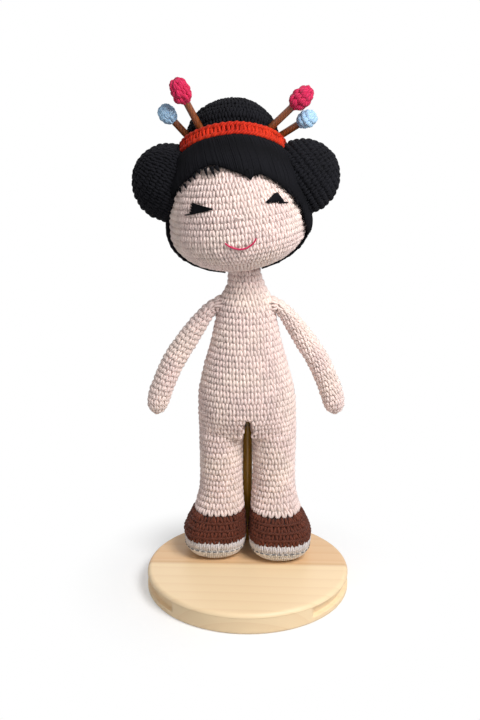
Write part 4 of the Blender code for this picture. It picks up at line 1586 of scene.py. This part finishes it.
class HeadForm:
    """The head's measured form, with its own axes from the neck to the crown."""

    WIDEST = 24.5 * MM
    RADIUS = 39.7 * MM
    LOWEST = -72.0

    def __init__(self) -> None:
        """Measures the head."""
        turn = joint("head_turn")
        self.axis = Vector(turn["axis"]).normalized()
        self.neck = Vector(turn["pos_m"])
        self.aside = (ASIDE - self.axis * ASIDE.dot(self.axis)).normalized()
        self.behind = self.axis.cross(self.aside)
        self.centre = self.neck + self.axis * self.WIDEST
        stations = polar_stations(self.centre, self.axis, self.LOWEST, 90, 72)
        rings = measure(["head_skin"], stations, self.aside, 1)
        self.surface = Surface(rings)
        self.away = np.linalg.norm(rings - np.array(self.centre), axis=2).mean(axis=1)
        self.latitudes = np.array([station.tilt for station in stations])

    def from_head(self, x: float, y: float, z: float) -> Vector:
        """A world place from one in the head's own axes."""
        return self.centre + self.aside * x + self.behind * y + self.axis * z

    def covered(self, target: BVHTree, place: Vector) -> bool:
        """Whether a place on the head lies under a piece, seen from the head's middle."""
        way = (place - self.centre).normalized()
        return target.ray_cast(self.centre, way, 2 * self.RADIUS)[0] is not None

    def on(self, way: Vector, lift: float) -> Vector:
        """The place above the head's skin in a direction given in its own axes."""
        way = way.normalized()
        latitude = math.asin(max(-1.0, min(1.0, way.z)))
        radius = float(np.interp(latitude, self.latitudes, self.away)) + lift
        return self.from_head(*(way * radius))

    def face(self, x_share: float, z_share: float, lift: float) -> Vector:
        """The place on the face at shares of the head's radius, seen from the front."""
        x, z = x_share * self.RADIUS, z_share * self.RADIUS
        way = Vector((x, -self.RADIUS, z))
        for _ in range(6):
            place = self.on(way, lift) - self.centre
            depth = place.dot(self.behind)
            way = Vector((x, depth, z))
        return self.on(way, lift)


@dataclass
class Head:
    """The head's cloth, its embroidered face and its wadding."""

    form: HeadForm
    gauge: Gauge = Gauge(width=4.0 * MM, height=3.6 * MM, yarn=0.94 * MM, drift=0.28)
    fill: float = 0.95
    stuffing_inset: float = 2.8 * MM
    thread: float = 0.42 * MM
    mouth_thread: float = 0.50 * MM
    nose_thread: float = 0.62 * MM
    lift: float = 0.25 * MM
    margin: float = 5 * MM
    worked_to: float = 0.92
    mouth_shares: tuple[tuple[float, float], ...] = (
        (-0.186, -0.008),
        (-0.140, -0.052),
        (-0.080, -0.088),
        (-0.010, -0.111),
        (0.050, -0.116),
        (0.110, -0.103),
        (0.165, -0.075),
        (0.210, -0.038),
        (0.243, 0.008),
    )
    right_eye_tip: tuple[float, float] = (-0.300, 0.461)
    right_eye_edge: tuple[tuple[float, float], ...] = ((-0.575, 0.540), (-0.620, 0.402))
    right_lash: tuple[tuple[float, float], ...] = (
        (-0.540, 0.410), (-0.631, 0.398), (-0.700, 0.381)
    )
    left_eye_tip: tuple[float, float] = (0.592, 0.556)
    left_eye_edge: tuple[tuple[float, float], ...] = ((0.440, 0.450), (0.680, 0.405))
    left_lashes: tuple[tuple[tuple[float, float], ...], ...] = (
        ((0.560, 0.548), (0.490, 0.500), (0.419, 0.458)),
        ((0.600, 0.415), (0.676, 0.405), (0.735, 0.391)),
    )

    def build(self, hair: BVHTree) -> None:
        """Works the head, fills it and embroiders its face.

        Args:
            hair: The hair cap, under which stitches are left out.
        """
        surface = self.form.surface
        ways = [
            way * self.margin for side in (self.form.aside, self.form.axis) for way in (side, -side)
        ]

        def shows(places: np.ndarray) -> np.ndarray:
            """Says which stitches are seen, or lie just under the hair's edge."""
            return np.array(
                [
                    any(not self.form.covered(hair, Vector(place) + way) for way in ways)
                    for place in places
                ]
            )

        piece = crochet(
            "head_crochet",
            surface,
            (0.0, self.worked_to),
            self.gauge,
            SKIN_COTTON,
            seed=7,
            keep=shows,
            backing=surface.shell(
                "head_backing", 0.0, 1.0, 1.05 * self.gauge.yarn, 0.7 * self.gauge.yarn
            ),
        )
        settle(piece, "head", "skin_cotton", "head_skin", fill=self.fill)
        stuff("head", surface, self.stuffing_inset, "head")
        self.embroider()

    def thread_line(self, shares: list[tuple[float, float]], count: int = 9) -> Strand:
        """A thread laid on the face through points given as shares."""
        xs, zs = zip(*shares)
        knots = np.linspace(0, 1, len(shares))
        points, thickness = [], []
        for k in range(count):
            f = k / (count - 1)
            end = min(f, 1 - f)
            lift = self.lift + self.thread * min(1.0, end * 8) - self.thread * 0.8
            points.append(
                self.form.face(float(np.interp(f, knots, xs)), float(np.interp(f, knots, zs)), lift)
            )
            thickness.append(0.75 + 0.25 * min(1.0, end * 6))
        return Strand(points, thickness)

    def fan(
        self, tip: tuple[float, float], edge: tuple[tuple[float, float], ...], count: int
    ) -> list[Strand]:
        """Satin stitches side by side from an edge to a tip, their feet staggered."""
        strands = []
        start, end = edge
        for k in range(count):
            f = k / (count - 1)
            foot = tuple(a + (b - a) * f for a, b in zip(start, end))
            foot = tuple(g + (g - t) * 0.05 * (k % 2) for t, g in zip(tip, foot))
            near = tuple(t + (g - t) * 0.04 for t, g in zip(tip, foot))
            bow = tuple((n + g) / 2 for n, g in zip(near, foot))
            strands.append(self.thread_line([near, bow, foot]))
        return strands

    def embroider(self) -> None:
        """Sews the eyes, the mouth and the small raised nose."""
        right = self.fan(self.right_eye_tip, self.right_eye_edge, 9)
        right.append(self.thread_line(list(self.right_lash)))
        left = self.fan(self.left_eye_tip, self.left_eye_edge, 11)
        left += [self.thread_line(list(lash)) for lash in self.left_lashes]
        for word, strands in (("right", right), ("left", left)):
            eye = lay_strands(
                f"{word}_eye_satin", strands, BLACK_FLOSS, self.thread, Waver=0.15 * MM
            )
            settle(eye, "head", "black_cotton", f"{word}_eye")
        mouth = lay_strands(
            "mouth_stitches",
            [self.thread_line(list(self.mouth_shares), 25)],
            MOUTH_THREAD,
            self.mouth_thread,
            Waver=0.1 * MM,
            Yarn_Sides=8,
        )
        settle(mouth, "head", "mouth_thread", "mouth")
        nose = lay_strands(
            "nose_stitch_yarn",
            [self.thread_line([(0.005, 0.318), (0.045, 0.305), (0.085, 0.318)])],
            SKIN_COTTON,
            self.nose_thread,
            Waver=0.0,
        )
        settle(nose, "head", "skin_cotton", "nose_stitch")


def along_profile(
    name: str, centre: Vector, axis: Vector, profile: list[tuple[float, float]], sides: int
) -> bpy.types.Mesh:
    """Turns a profile round an axis into a closed mesh.

    Args:
        name: The mesh's name.
        centre: Where the profile's height is zero.
        axis: The direction of its height.
        profile: Radii and heights, from a radius of zero to a radius of zero.
        sides: How many sides the piece has.

    Returns:
        The mesh.
    """
    to_axis = axis.to_track_quat("Z", "Y").to_matrix()
    angles = [FULL_TURN * k / sides for k in range(sides)]
    rings = [
        [
            centre + to_axis @ Vector((radius * math.cos(a), radius * math.sin(a), height))
            for a in angles
        ]
        for radius, height in profile
    ]
    return mesh_of_rings(name, rings, 0.001 * MM)


def arc(
    centre: tuple[float, float], radius: float, start: float, end: float, steps: int
) -> list[tuple[float, float]]:
    """Points of an arc in a profile, with its angles in degrees."""
    return [
        (
            centre[0] + radius * math.cos(math.radians(start + (end - start) * k / steps)),
            centre[1] + radius * math.sin(math.radians(start + (end - start) * k / steps)),
        )
        for k in range(steps + 1)
    ]


def rod_profile(radius: float, low: float, high: float, nose: float) -> list:
    """A round rod's profile with rounded ends."""
    return [
        (0.0, low),
        *arc((radius - nose, low + nose), nose, -90, 0, 5),
        *arc((radius - nose, high - nose), nose, 0, 90, 5),
        (0.0, high),
    ]


@dataclass
class Stand:
    """The round pine board with its finger grooves, and the dark rod."""

    sides: int = 240
    top_round: float = 2.6 * MM
    bottom_round: float = 1.5 * MM
    crease: float = 0.22 * MM
    rod_nose: float = 1.5 * MM
    groove_depth: float = 2.8 * MM
    groove_low: float = 3.8 * MM
    groove_high: float = 9.4 * MM
    groove_half: float = math.radians(47)
    groove_turn: float = math.radians(-4)
    groove_soft: float = 0.5 * MM

    def build(self) -> None:
        """Turns the board and the rod."""
        low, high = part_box("base_board")
        radius, height = (high.x - low.x) / 2, high.z - low.z
        middle = (low + high) / 2
        middle.z = low.z
        profile = [(radius * s, 0.0) for s in (0.0, 0.5, 0.9)]
        profile += arc(
            (radius - self.bottom_round, self.bottom_round), self.bottom_round, -90, 0, 6
        )
        count = 24
        first, last = self.bottom_round, height - self.top_round
        profile += [(radius, first + (last - first) * k / count) for k in range(1, count)]
        profile += [(radius - self.crease, last - 0.1 * MM)]
        profile += arc((radius - self.top_round, last), self.top_round, 0, 90, 10)
        profile += [(radius * s, height) for s in (0.85, 0.6, 0.3, 0.0)]
        mesh = along_profile("pine_board", middle, UP, profile, self.sides)
        for vertex in mesh.vertices:
            off = vertex.co - middle
            out = math.hypot(off.x, off.y)
            if out < radius - self.top_round:
                continue
            cut = self.groove_depth * self.groove_share(off)
            vertex.co -= Vector((off.x, off.y, 0)) / out * cut
        board = add_object("pine_board", mesh, PINE)
        settle(board, "stand", "pine", "base_board")
        low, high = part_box("stand_rod")
        foot = (low + high) / 2
        foot.z = low.z
        profile = rod_profile((high.x - low.x) / 2, 0.0, high.z - low.z, self.rod_nose)
        mesh = along_profile("dark_rod", foot, UP, profile, 40)
        rod = add_object("dark_rod", mesh, VARNISHED_ROD)
        settle(rod, "stand", "varnished_rod", "stand_rod")

    def groove_share(self, off: Vector) -> float:
        """How much of the finger groove's depth is cut at a place on the rim."""
        angle = math.atan2(off.y, off.x) - self.groove_turn
        from_x = abs(math.asin(math.sin(angle)))
        reach = math.hypot(off.x, off.y)
        along = (self.groove_half - from_x) * reach
        across = min(off.z - self.groove_low, self.groove_high - off.z)
        share = 1.0
        for inside in (along, across):
            rise = max(0.0, min(1.0, 0.5 + inside / self.groove_soft / 2))
            share *= rise * rise * (3 - 2 * rise)
        return share


@dataclass
class HairStick:
    """A brown wooden stick with a crocheted bobble on its end."""

    side: Side
    colour: str
    yarn: CottonYarn
    gauge: Gauge = Gauge(
        width=4.6 * MM, height=4.2 * MM, yarn=1.35 * MM, turn_jitter=0.15, size_jitter=0.12
    )
    nose: float = 0.4 * MM
    fill: float = 0.9

    def build(self) -> None:
        """Turns the stick and works its bobble."""
        word = f"{self.side.word}_{self.colour}"
        body = f"{word}_hair_stick"
        axis = Vector(joint(f"{word}_stick_pull")["axis"]).normalized()
        spots = [vertex.co for vertex in frame["nodes"][f"{word}_stick"].data.vertices]
        low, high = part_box(f"{word}_stick")
        middle = (low + high) / 2
        heights = [(spot - middle).dot(axis) for spot in spots]
        radius = max((spot - middle).cross(axis).length for spot in spots)
        profile = rod_profile(radius, min(heights), max(heights), self.nose)
        mesh = along_profile(f"{word}_stained_stick", middle, axis, profile, 24)
        stick = add_object(f"{word}_stained_stick", mesh, STICK_WOOD)
        settle(stick, body, "stick_wood", f"{word}_stick")
        low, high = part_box(f"{word}_bobble")
        stations = polar_stations((low + high) / 2, axis, -86, 90, 30)
        surface = Surface(measure([f"{word}_bobble"], stations, harmonics=1))
        ball = crochet(
            f"{word}_bobble_crochet",
            surface,
            (0.0, 1.0),
            self.gauge,
            self.yarn,
            seed=70 + self.side.value,
        )
        settle(ball, body, f"{self.colour}_cotton", f"{word}_bobble", fill=self.fill)


@dataclass
class SideBun:
    """A side bun, worked round from its outer pole."""

    side: Side
    form: HeadForm
    gauge: Gauge = Gauge(width=4.0 * MM, height=3.7 * MM, yarn=0.96 * MM, drift=0.3)
    low_latitude: float = -48.0
    top_rise: float = 1.6 * MM
    fill: float = 0.9
    stuffing_inset: float = 2.6 * MM

    def build(self) -> None:
        """Works the bun and fills it."""
        node = f"{self.side.word}_bun_skin"
        low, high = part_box(node)
        radius = (high.y - low.y) / 2
        centre = (low + high) / 2
        outside = high.x if self.side is Side.LEFT else low.x
        centre.x = outside - self.side.value * radius
        axis = (centre - self.form.centre).normalized()
        stations = polar_stations(centre, axis, self.low_latitude, 90, 44)
        rings = measure([node], stations, harmonics=1)
        foot_rise = self.top_rise if self.side is Side.LEFT else 0.0
        share = (unit(rings - np.array(centre))[:, :, 2:] + 1) / 2
        rings += (foot_rise + (self.top_rise - foot_rise) * share) * np.array(UP)
        surface = Surface(rings)
        bun = crochet(
            f"{self.side.word}_bun_crochet",
            surface,
            (0.0, 1.0),
            self.gauge,
            BLACK_COTTON,
            seed=50 + self.side.value,
        )
        settle(bun, "head", "black_cotton", node, fill=self.fill)
        stuff(f"{self.side.word}_bun", surface, self.stuffing_inset, "head")


@dataclass
class TopBun:
    """The large leaning bun on the crown and the red band round its foot."""

    form: HeadForm
    gauge: Gauge = Gauge(width=4.0 * MM, height=3.7 * MM, yarn=0.96 * MM, drift=0.15)
    above_band: float = 4 * MM
    low_latitude: float = -14.0
    fill: float = 0.9
    stuffing_inset: float = 2.6 * MM
    band_gauge: Gauge = Gauge(
        width=4.8 * MM, height=3.6 * MM, yarn=1.10 * MM, proud=0.1 * MM, turn_jitter=0.15
    )
    pull_ahead: float = 2.8 * MM
    pull_down: float = 3.0 * MM
    pull_aside: float = 2.6 * MM
    sink: float = 4.8 * MM
    droop: float = 1.2 * MM
    band_top: float = 0.72
    flatten: float = 0.88
    draw_in: float = 2.3 * MM
    draw_above: float = 4.0 * MM
    lip: float = 1.35 * MM
    lip_proud: float = 0.50 * MM
    lip_shares: tuple[float, float] = (0.06, 0.92)
    lip_stitches: int = 44
    lip_swell: float = 0.16
    band_span: tuple[float, float] = (0.16, 0.84)
    band_skin: float = 1.3 * MM
    band_wall: float = 0.8 * MM
    band_fill: float = 0.7

    def __post_init__(self) -> None:
        """Finds the bun's axis from the band round it."""
        spots = np.array([tuple(v.co) for v in frame["nodes"]["hair_band"].data.vertices])
        centre = spots.mean(axis=0)
        axis = np.linalg.svd(spots - centre, full_matrices=False)[2][2]
        self.axis = Vector(axis if axis[2] > 0 else -axis)
        self.centre = Vector(centre)
        self.half_band = float(np.abs((spots - centre) @ axis).max())
        self.ahead = (-BACK + self.axis * BACK.dot(self.axis)).normalized()
        self.beside = self.axis.cross(self.ahead)
        rings = measure(
            ["hair_band"],
            [
                Station(self.centre + self.axis * self.half_band * s, self.axis)
                for s in np.linspace(-0.97, self.band_top, 15)
            ],
            harmonics=2,
        )
        middle = np.array(self.form.centre)
        lift = np.linalg.norm(rings - middle, axis=2, keepdims=True)
        out = unit(rings - np.array(self.centre))
        right = -ASIDE
        for way, pull in (
            (self.ahead, self.ahead * self.pull_ahead - self.axis * self.pull_down),
            (right, right * self.pull_aside - self.axis * self.sink),
        ):
            rings += np.maximum(out @ np.array(way), 0.0)[:, :, None] * np.array(pull)
        sideways = 1 - (out @ np.array(self.ahead)) ** 2
        rings -= sideways[:, :, None] * self.droop * np.array(self.axis)
        rings = middle + unit(rings - middle) * lift
        self.band = Surface(rings)

    def foot(self, angle: float) -> Vector:
        """The place on the band's lower edge at degrees round the bun from its front."""
        edge = self.band.rings[0]
        off = edge - np.array(self.centre)
        angles = np.degrees(np.arctan2(off @ np.array(self.beside), off @ np.array(self.ahead)))
        return Vector([float(np.interp(angle, angles, axis, period=360)) for axis in edge.T])

    def build(self) -> None:
        """Works the bun, fills it and puts its band round it."""
        centre = self.centre + self.axis * self.above_band
        stations = polar_stations(centre, self.axis, self.low_latitude, 90, 44)
        rings = measure(["top_bun_skin"], stations, harmonics=2)
        rise = np.maximum((rings - np.array(centre)) @ np.array(self.axis), 0.0)
        rings -= rise[:, :, None] * (1 - self.flatten) * np.array(self.axis)
        out = unit(rings - np.array(centre))
        left, above = (np.maximum(out @ np.array(way), 0.0) for way in (ASIDE, self.axis))
        drawn = left * (self.draw_in + self.draw_above * above)
        rings -= drawn[:, :, None] * np.array(ASIDE)
        surface = Surface(rings)
        bun = crochet("top_bun_crochet", surface, (0.0, 1.0), self.gauge, BLACK_COTTON, seed=60)
        settle(bun, "head", "black_cotton", "top_bun_skin", fill=self.fill)
        stuff("top_bun", surface, self.stuffing_inset, "head")
        band = crochet(
            "hair_band_crochet",
            self.band,
            self.band_span,
            self.band_gauge,
            RED_COTTON,
            seed=61,
            rows=1,
            backing=self.band.shell("hair_band_backing", 0.0, 1.0, self.band_skin, self.band_wall),
        )
        settle(band, "head", "red_cotton", "hair_band", fill=self.band_fill)
        lips = [
            round_of_yarn(
                self.band, share, self.lip, self.lip_proud, self.lip_stitches, self.lip_swell
            )
            for share in self.lip_shares
        ]
        edge = lay_strands(
            "hair_band_edges", lips, RED_COTTON, self.lip, Waver=0.25 * MM, Yarn_Sides=10
        )
        settle(edge, "head", "red_cotton")


@dataclass
class Hair:
    """The black hair: worked rows behind, satin strands in front, and the fringe."""

    form: HeadForm
    top_bun: TopBun
    lift: float = 2.0 * MM
    gauge: Gauge = Gauge(width=4.0 * MM, height=3.7 * MM, yarn=0.93 * MM, drift=0.5)
    front_from: float = -4 * MM
    strand: float = 0.55 * MM
    strand_count: int = 190
    strand_steps: int = 16
    first_angle: float = -14.0
    last_angle: float = 160.0
    band_half_turn: float = 96.0
    tuck: float = 0.3 * MM
    boldness: float = 1.5
    worked_to: float = 0.97
    bun_round: float = 24 * MM
    bun_under: float = 20 * MM
    dip_from: float = 0.93
    dip_over: float = 0.10
    skim: float = 0.7 * MM
    root_over: float = 0.12
    root_dip: float = 0.5 * MM
    taper: float = 0.10
    seed: int = 11

    def build(self) -> None:
        """Works the cap, lays the front strands and sews the fringe."""
        self.tree = tree_of(["hair_cap"])
        self.work_cap()
        self.lay_front()

    def work_cap(self) -> None:
        """Works the rows behind the front strands over a copy of the cap."""
        mesh = frame["nodes"]["hair_cap"].data.copy()
        mesh.materials.clear()
        bm = bmesh.new()
        bm.from_mesh(mesh)
        bmesh.ops.remove_doubles(bm, verts=bm.verts, dist=0.01 * MM)
        bm.to_mesh(mesh)
        bm.free()
        foot = self.top_bun.centre

        def shows(places: np.ndarray) -> np.ndarray:
            """Says which stitches lie on the cap, behind the strands and off the bun."""
            kept = []
            for place in places:
                point = Vector(place)
                off = point - foot
                beside = off.cross(self.top_bun.axis).length
                above = off.dot(self.top_bun.axis)
                under_bun = beside < self.bun_round and above > -self.bun_under
                behind = (point - self.form.centre).dot(self.form.behind)
                kept.append(
                    behind > self.front_from
                    and not under_bun
                    and self.form.covered(self.tree, point)
                )
            return np.array(kept)

        cap = crochet(
            "hair_cap_crochet",
            self.form.surface.offset(self.lift),
            (0.0, self.worked_to),
            self.gauge,
            BLACK_COTTON,
            seed=12,
            keep=shows,
            backing=mesh,
        )
        settle(cap, "head", "black_cotton", "hair_cap")

    def hairline(self, angle: float) -> Vector:
        """The direction, in the head's axes, in which the face meets the hair.

        Args:
            angle: Degrees round the face, from the doll's left over its forehead.

        Returns:
            The direction from the head's middle.
        """
        round_face = math.radians(angle)
        side, rise = math.cos(round_face), math.sin(round_face)

        def way(opening: float) -> Vector:
            """A direction at an angle from straight ahead."""
            out = math.sin(opening)
            return Vector((side * out, -math.cos(opening), rise * out))

        low, high = 0.0, math.radians(130)
        steps = 60
        for k in range(steps):
            opening = high * k / steps
            if self.form.covered(self.tree, self.form.from_head(*way(opening))):
                low, high = high * (k - 1) / steps, opening
                break
        for _ in range(8):
            middle = (low + high) / 2
            if self.form.covered(self.tree, self.form.from_head(*way(middle))):
                high = middle
            else:
                low = middle
        return way(low)

    def under_band(self, turn: float) -> Vector:
        """The direction, in the head's axes, of a place just under the band's lower edge.

        Args:
            turn: Degrees round the bun from its front, positive to the doll's left.

        Returns:
            The direction from the head's middle.
        """
        foot = self.top_bun.foot(turn)
        out = foot - self.top_bun.centre
        out -= self.top_bun.axis * out.dot(self.top_bun.axis)
        off = foot + out.normalized() * self.tuck - self.form.centre
        return Vector(
            (off.dot(self.form.aside), off.dot(self.form.behind), off.dot(self.form.axis))
        ).normalized()

    def lay_front(self) -> None:
        """Lays the satin strands from under the band to past the hairline."""
        rng = np.random.default_rng(self.seed)
        strands = []
        for k in range(self.strand_count):
            share = k / (self.strand_count - 1)
            angle = self.first_angle + (self.last_angle - self.first_angle) * share
            end = self.hairline(angle)
            start = self.under_band(self.band_half_turn * (1 - 2 * share))
            past = self.fringe_length(end.x) * rng.uniform(0.2, 1.0)
            layer = rng.uniform(0.1, 0.9) * self.strand
            points, thickness = [], []
            whole = start.angle(end)
            reach = whole + past / self.form.RADIUS
            for step in range(self.strand_steps):
                f = step / (self.strand_steps - 1) * reach / whole
                way = start.slerp(end, min(f, 1.0)) if f <= 1 else self.beyond(start, end, f)
                over = max(0.0, f - self.dip_from) / self.dip_over
                lift = self.lift + layer - min(1.0, over) * (self.lift - self.skim)
                lift -= max(0.0, 1 - f / self.root_over) * (layer + self.root_dip)
                points.append(self.form.on(way, lift))
                left = (reach / whole - f) / self.taper
                thickness.append(max(0.12, min(1.0, left)) if past > 0 else 1.0)
            strands.append(Strand(points, thickness))
        strands += [self.spike(root, tip, width) for root, tip, width in self.SPIKES]
        front = lay_strands(
            "front_hair_strands",
            strands,
            BLACK_FLOSS,
            self.strand,
            Waver=0.5 * MM,
            Waver_Size=14 * MM,
            Yarn_Sides=6,
        )
        settle(front, "head", "black_cotton", "fringe_strands")

    SPIKES = (
        ((-0.754, 0.749), (-0.728, 0.669), 1.1),
        ((-0.662, 0.804), (-0.633, 0.722), 1.2),
        ((-0.587, 0.859), (-0.561, 0.811), 1.2),
        ((-0.517, 0.923), (-0.491, 0.840), 1.3),
        ((-0.443, 0.979), (-0.416, 0.902), 1.2),
        ((-0.343, 0.995), (-0.320, 0.868), 1.4),
        ((-0.256, 1.003), (-0.219, 0.871), 1.6),
        ((-0.191, 1.011), (-0.141, 0.916), 1.6),
        ((0.196, 0.909), (0.260, 0.780), 2.0),
        ((0.234, 0.925), (0.260, 0.780), 2.2),
        ((0.287, 0.905), (0.261, 0.787), 2.0),
        ((0.317, 0.900), (0.324, 0.785), 1.0),
        ((0.342, 0.902), (0.364, 0.784), 1.1),
        ((0.527, 0.803), (0.571, 0.698), 1.0),
        ((0.743, 0.597), (0.801, 0.461), 1.6),
        ((0.853, 0.418), (0.901, 0.282), 1.5),
    )

    def spike(self, root: tuple[float, float], tip: tuple[float, float], width: float) -> Strand:
        """A pointed lock of the fringe between two places on the face."""
        points, thickness = [], []
        steps = 8
        for k in range(steps):
            f = k / (steps - 1)
            x = root[0] + (tip[0] - root[0]) * f ** 1.3
            z = root[1] + (tip[1] - root[1]) * f
            points.append(self.form.face(x, z, (2.0 - 1.2 * f) * MM))
            thickness.append(self.boldness * width * max(0.12, 1 - f ** 1.6))
        return Strand(points, thickness)

    def fringe_length(self, x: float) -> float:
        """How far strands run past the hairline, by their place across the face."""
        places = (-1.0, -0.85, -0.35, -0.10, 0.30, 0.60, 1.0)
        lengths = (0.0, 0.8, 0.9, 0.3, 0.4, 0.4, 0.3)
        return float(np.interp(x, places, lengths)) * MM

    def beyond(self, start: Vector, end: Vector, share: float) -> Vector:
        """A direction past the end of the arc from one direction to another."""
        back = start.slerp(end, 2 - share)
        return (end * (2 * end.dot(back)) - back).normalized()


@dataclass
class Studio:
    """A plain pale floor, soft lamps and the camera."""

    camera_place: tuple[float, float, float] = (-0.0046, -0.647, 0.3525)
    camera_down: float = math.radians(90 - 18.07)
    lens: float = 60.0
    sensor: float = 36.0
    floor_size: float = 6.0
    floor_glow: float = 0.34
    shadow_near: float = 0.062
    shadow_far: float = 0.115
    floor_grey: float = 0.66
    world_light: float = 0.30
    aim: tuple[float, float, float] = (0.0, 0.02, 0.15)
    lamps: tuple[tuple[str, tuple[float, float, float], float, float], ...] = (
        ("key", (0.32, -0.36, 0.62), 0.32, 4.95),
        ("fill", (-0.9, -0.7, 0.55), 0.9, 0.62),
        ("back", (0.1, 0.9, 0.9), 0.8, 0.8),
    )

    def build(self) -> None:
        """Sets up the floor, the world, the lamps and the camera."""
        scene = bpy.context.scene
        scene.view_settings.view_transform = "Standard"
        camera = bpy.data.cameras.new("camera")
        camera.lens, camera.sensor_width = self.lens, self.sensor
        eye = bpy.data.objects.new("camera", camera)
        eye.location = self.camera_place
        eye.rotation_euler = (self.camera_down, 0, 0)
        scene.collection.objects.link(eye)
        scene.camera = eye
        self.add_floor()
        self.add_world()
        for lamp in self.lamps:
            self.add_lamp(*lamp)

    def add_floor(self) -> None:
        """A white floor that keeps the stand's soft shadow."""
        half = self.floor_size / 2
        mesh = bpy.data.meshes.new("floor")
        corners = [(-half, -half, 0), (half, -half, 0), (half, half, 0), (-half, half, 0)]
        mesh.from_pydata(corners, [], [(0, 1, 2, 3)])
        floor = add_object("floor", mesh)
        material, tree, shader = new_material(
            "matt_white_paper", Roughness=0.9, Base_Color=(*[self.floor_grey] * 3, 1)
        )
        path = add_node(tree, "ShaderNodeLightPath")
        where = add_node(tree, "ShaderNodeTexCoord").outputs["Object"]
        away = add_node(tree, VECTOR_MATH, {0: where}, operation="LENGTH")
        white = add_node(
            tree,
            MAP_RANGE,
            {
                "Value": away.outputs["Value"],
                "From Min": self.shadow_near,
                "From Max": self.shadow_far,
            },
            interpolation_type="SMOOTHSTEP",
        )
        glow = add_node(
            tree, "ShaderNodeEmission", {"Color": (1, 1, 1, 1), "Strength": self.floor_glow}
        )
        near = add_node(tree, "ShaderNodeAddShader", {0: shader, 1: glow})
        far = add_node(tree, "ShaderNodeEmission", {"Color": (1, 1, 1, 1), "Strength": 1.0})
        seen = add_node(tree, "ShaderNodeMixShader", {0: white, 1: near, 2: far})
        shown = add_node(
            tree, "ShaderNodeMixShader", {0: path.outputs["Is Camera Ray"], 1: shader, 2: seen}
        )
        tree.links.new(shown.outputs[0], tree.nodes["Material Output"].inputs["Surface"])
        floor.data.materials.append(material)

    def add_world(self) -> None:
        """Pale light from all round, and a white background for the camera."""
        world = bpy.data.worlds.new("studio")
        world.use_nodes = True
        tree = world.node_tree
        path = add_node(tree, "ShaderNodeLightPath")
        seen = add_node(
            tree,
            MATH,
            {0: path.outputs["Is Camera Ray"], 1: path.outputs["Is Glossy Ray"]},
            operation="MAXIMUM",
        )
        clear = add_node(
            tree, MATH, {0: seen, 1: path.outputs["Is Transmission Ray"]}, operation="MAXIMUM"
        )
        strength = add_node(
            tree, MAP_RANGE, {"Value": clear, "To Min": self.world_light, "To Max": 1.0}
        )
        sky = tree.nodes["Background"]
        sky.inputs["Color"].default_value = (1, 1, 1, 1)
        tree.links.new(strength.outputs[0], sky.inputs["Strength"])
        bpy.context.scene.world = world

    def add_lamp(
        self, name: str, place: tuple[float, float, float], size: float, power: float
    ) -> None:
        """A square soft lamp that looks at the doll's middle."""
        light = bpy.data.lights.new(name, "AREA")
        light.size, light.energy = size, power
        lamp = bpy.data.objects.new(name, light)
        lamp.location = place
        aim = Vector(self.aim) - Vector(place)
        lamp.rotation_euler = aim.to_track_quat("-Z", "Y").to_euler()
        bpy.context.scene.collection.objects.link(lamp)


def main() -> None:
    """Builds the doll's sub-assemblies in order and sets up the studio."""
    logging.basicConfig(level=logging.INFO, format="%(name)s: %(message)s")
    Torso().build()
    for side in Side:
        Leg(side).build()
        Arm(side).build()
    form = HeadForm()
    Head(form).build(tree_of(["hair_cap"]))
    top_bun = TopBun(form)
    top_bun.build()
    Hair(form, top_bun).build()
    dowel = frame["nodes"]["neck_dowel"]
    dowel.data.materials.clear()
    dowel.data.materials.append(DOWEL_WOOD.material())
    Stand().build()
    for side in Side:
        SideBun(side, form).build()
        HairStick(side, "pink", PINK_COTTON).build()
        HairStick(side, "blue", BLUE_COTTON, FINE_GAUGE).build()
    Studio().build()


if __name__ == "__main__":
    main()
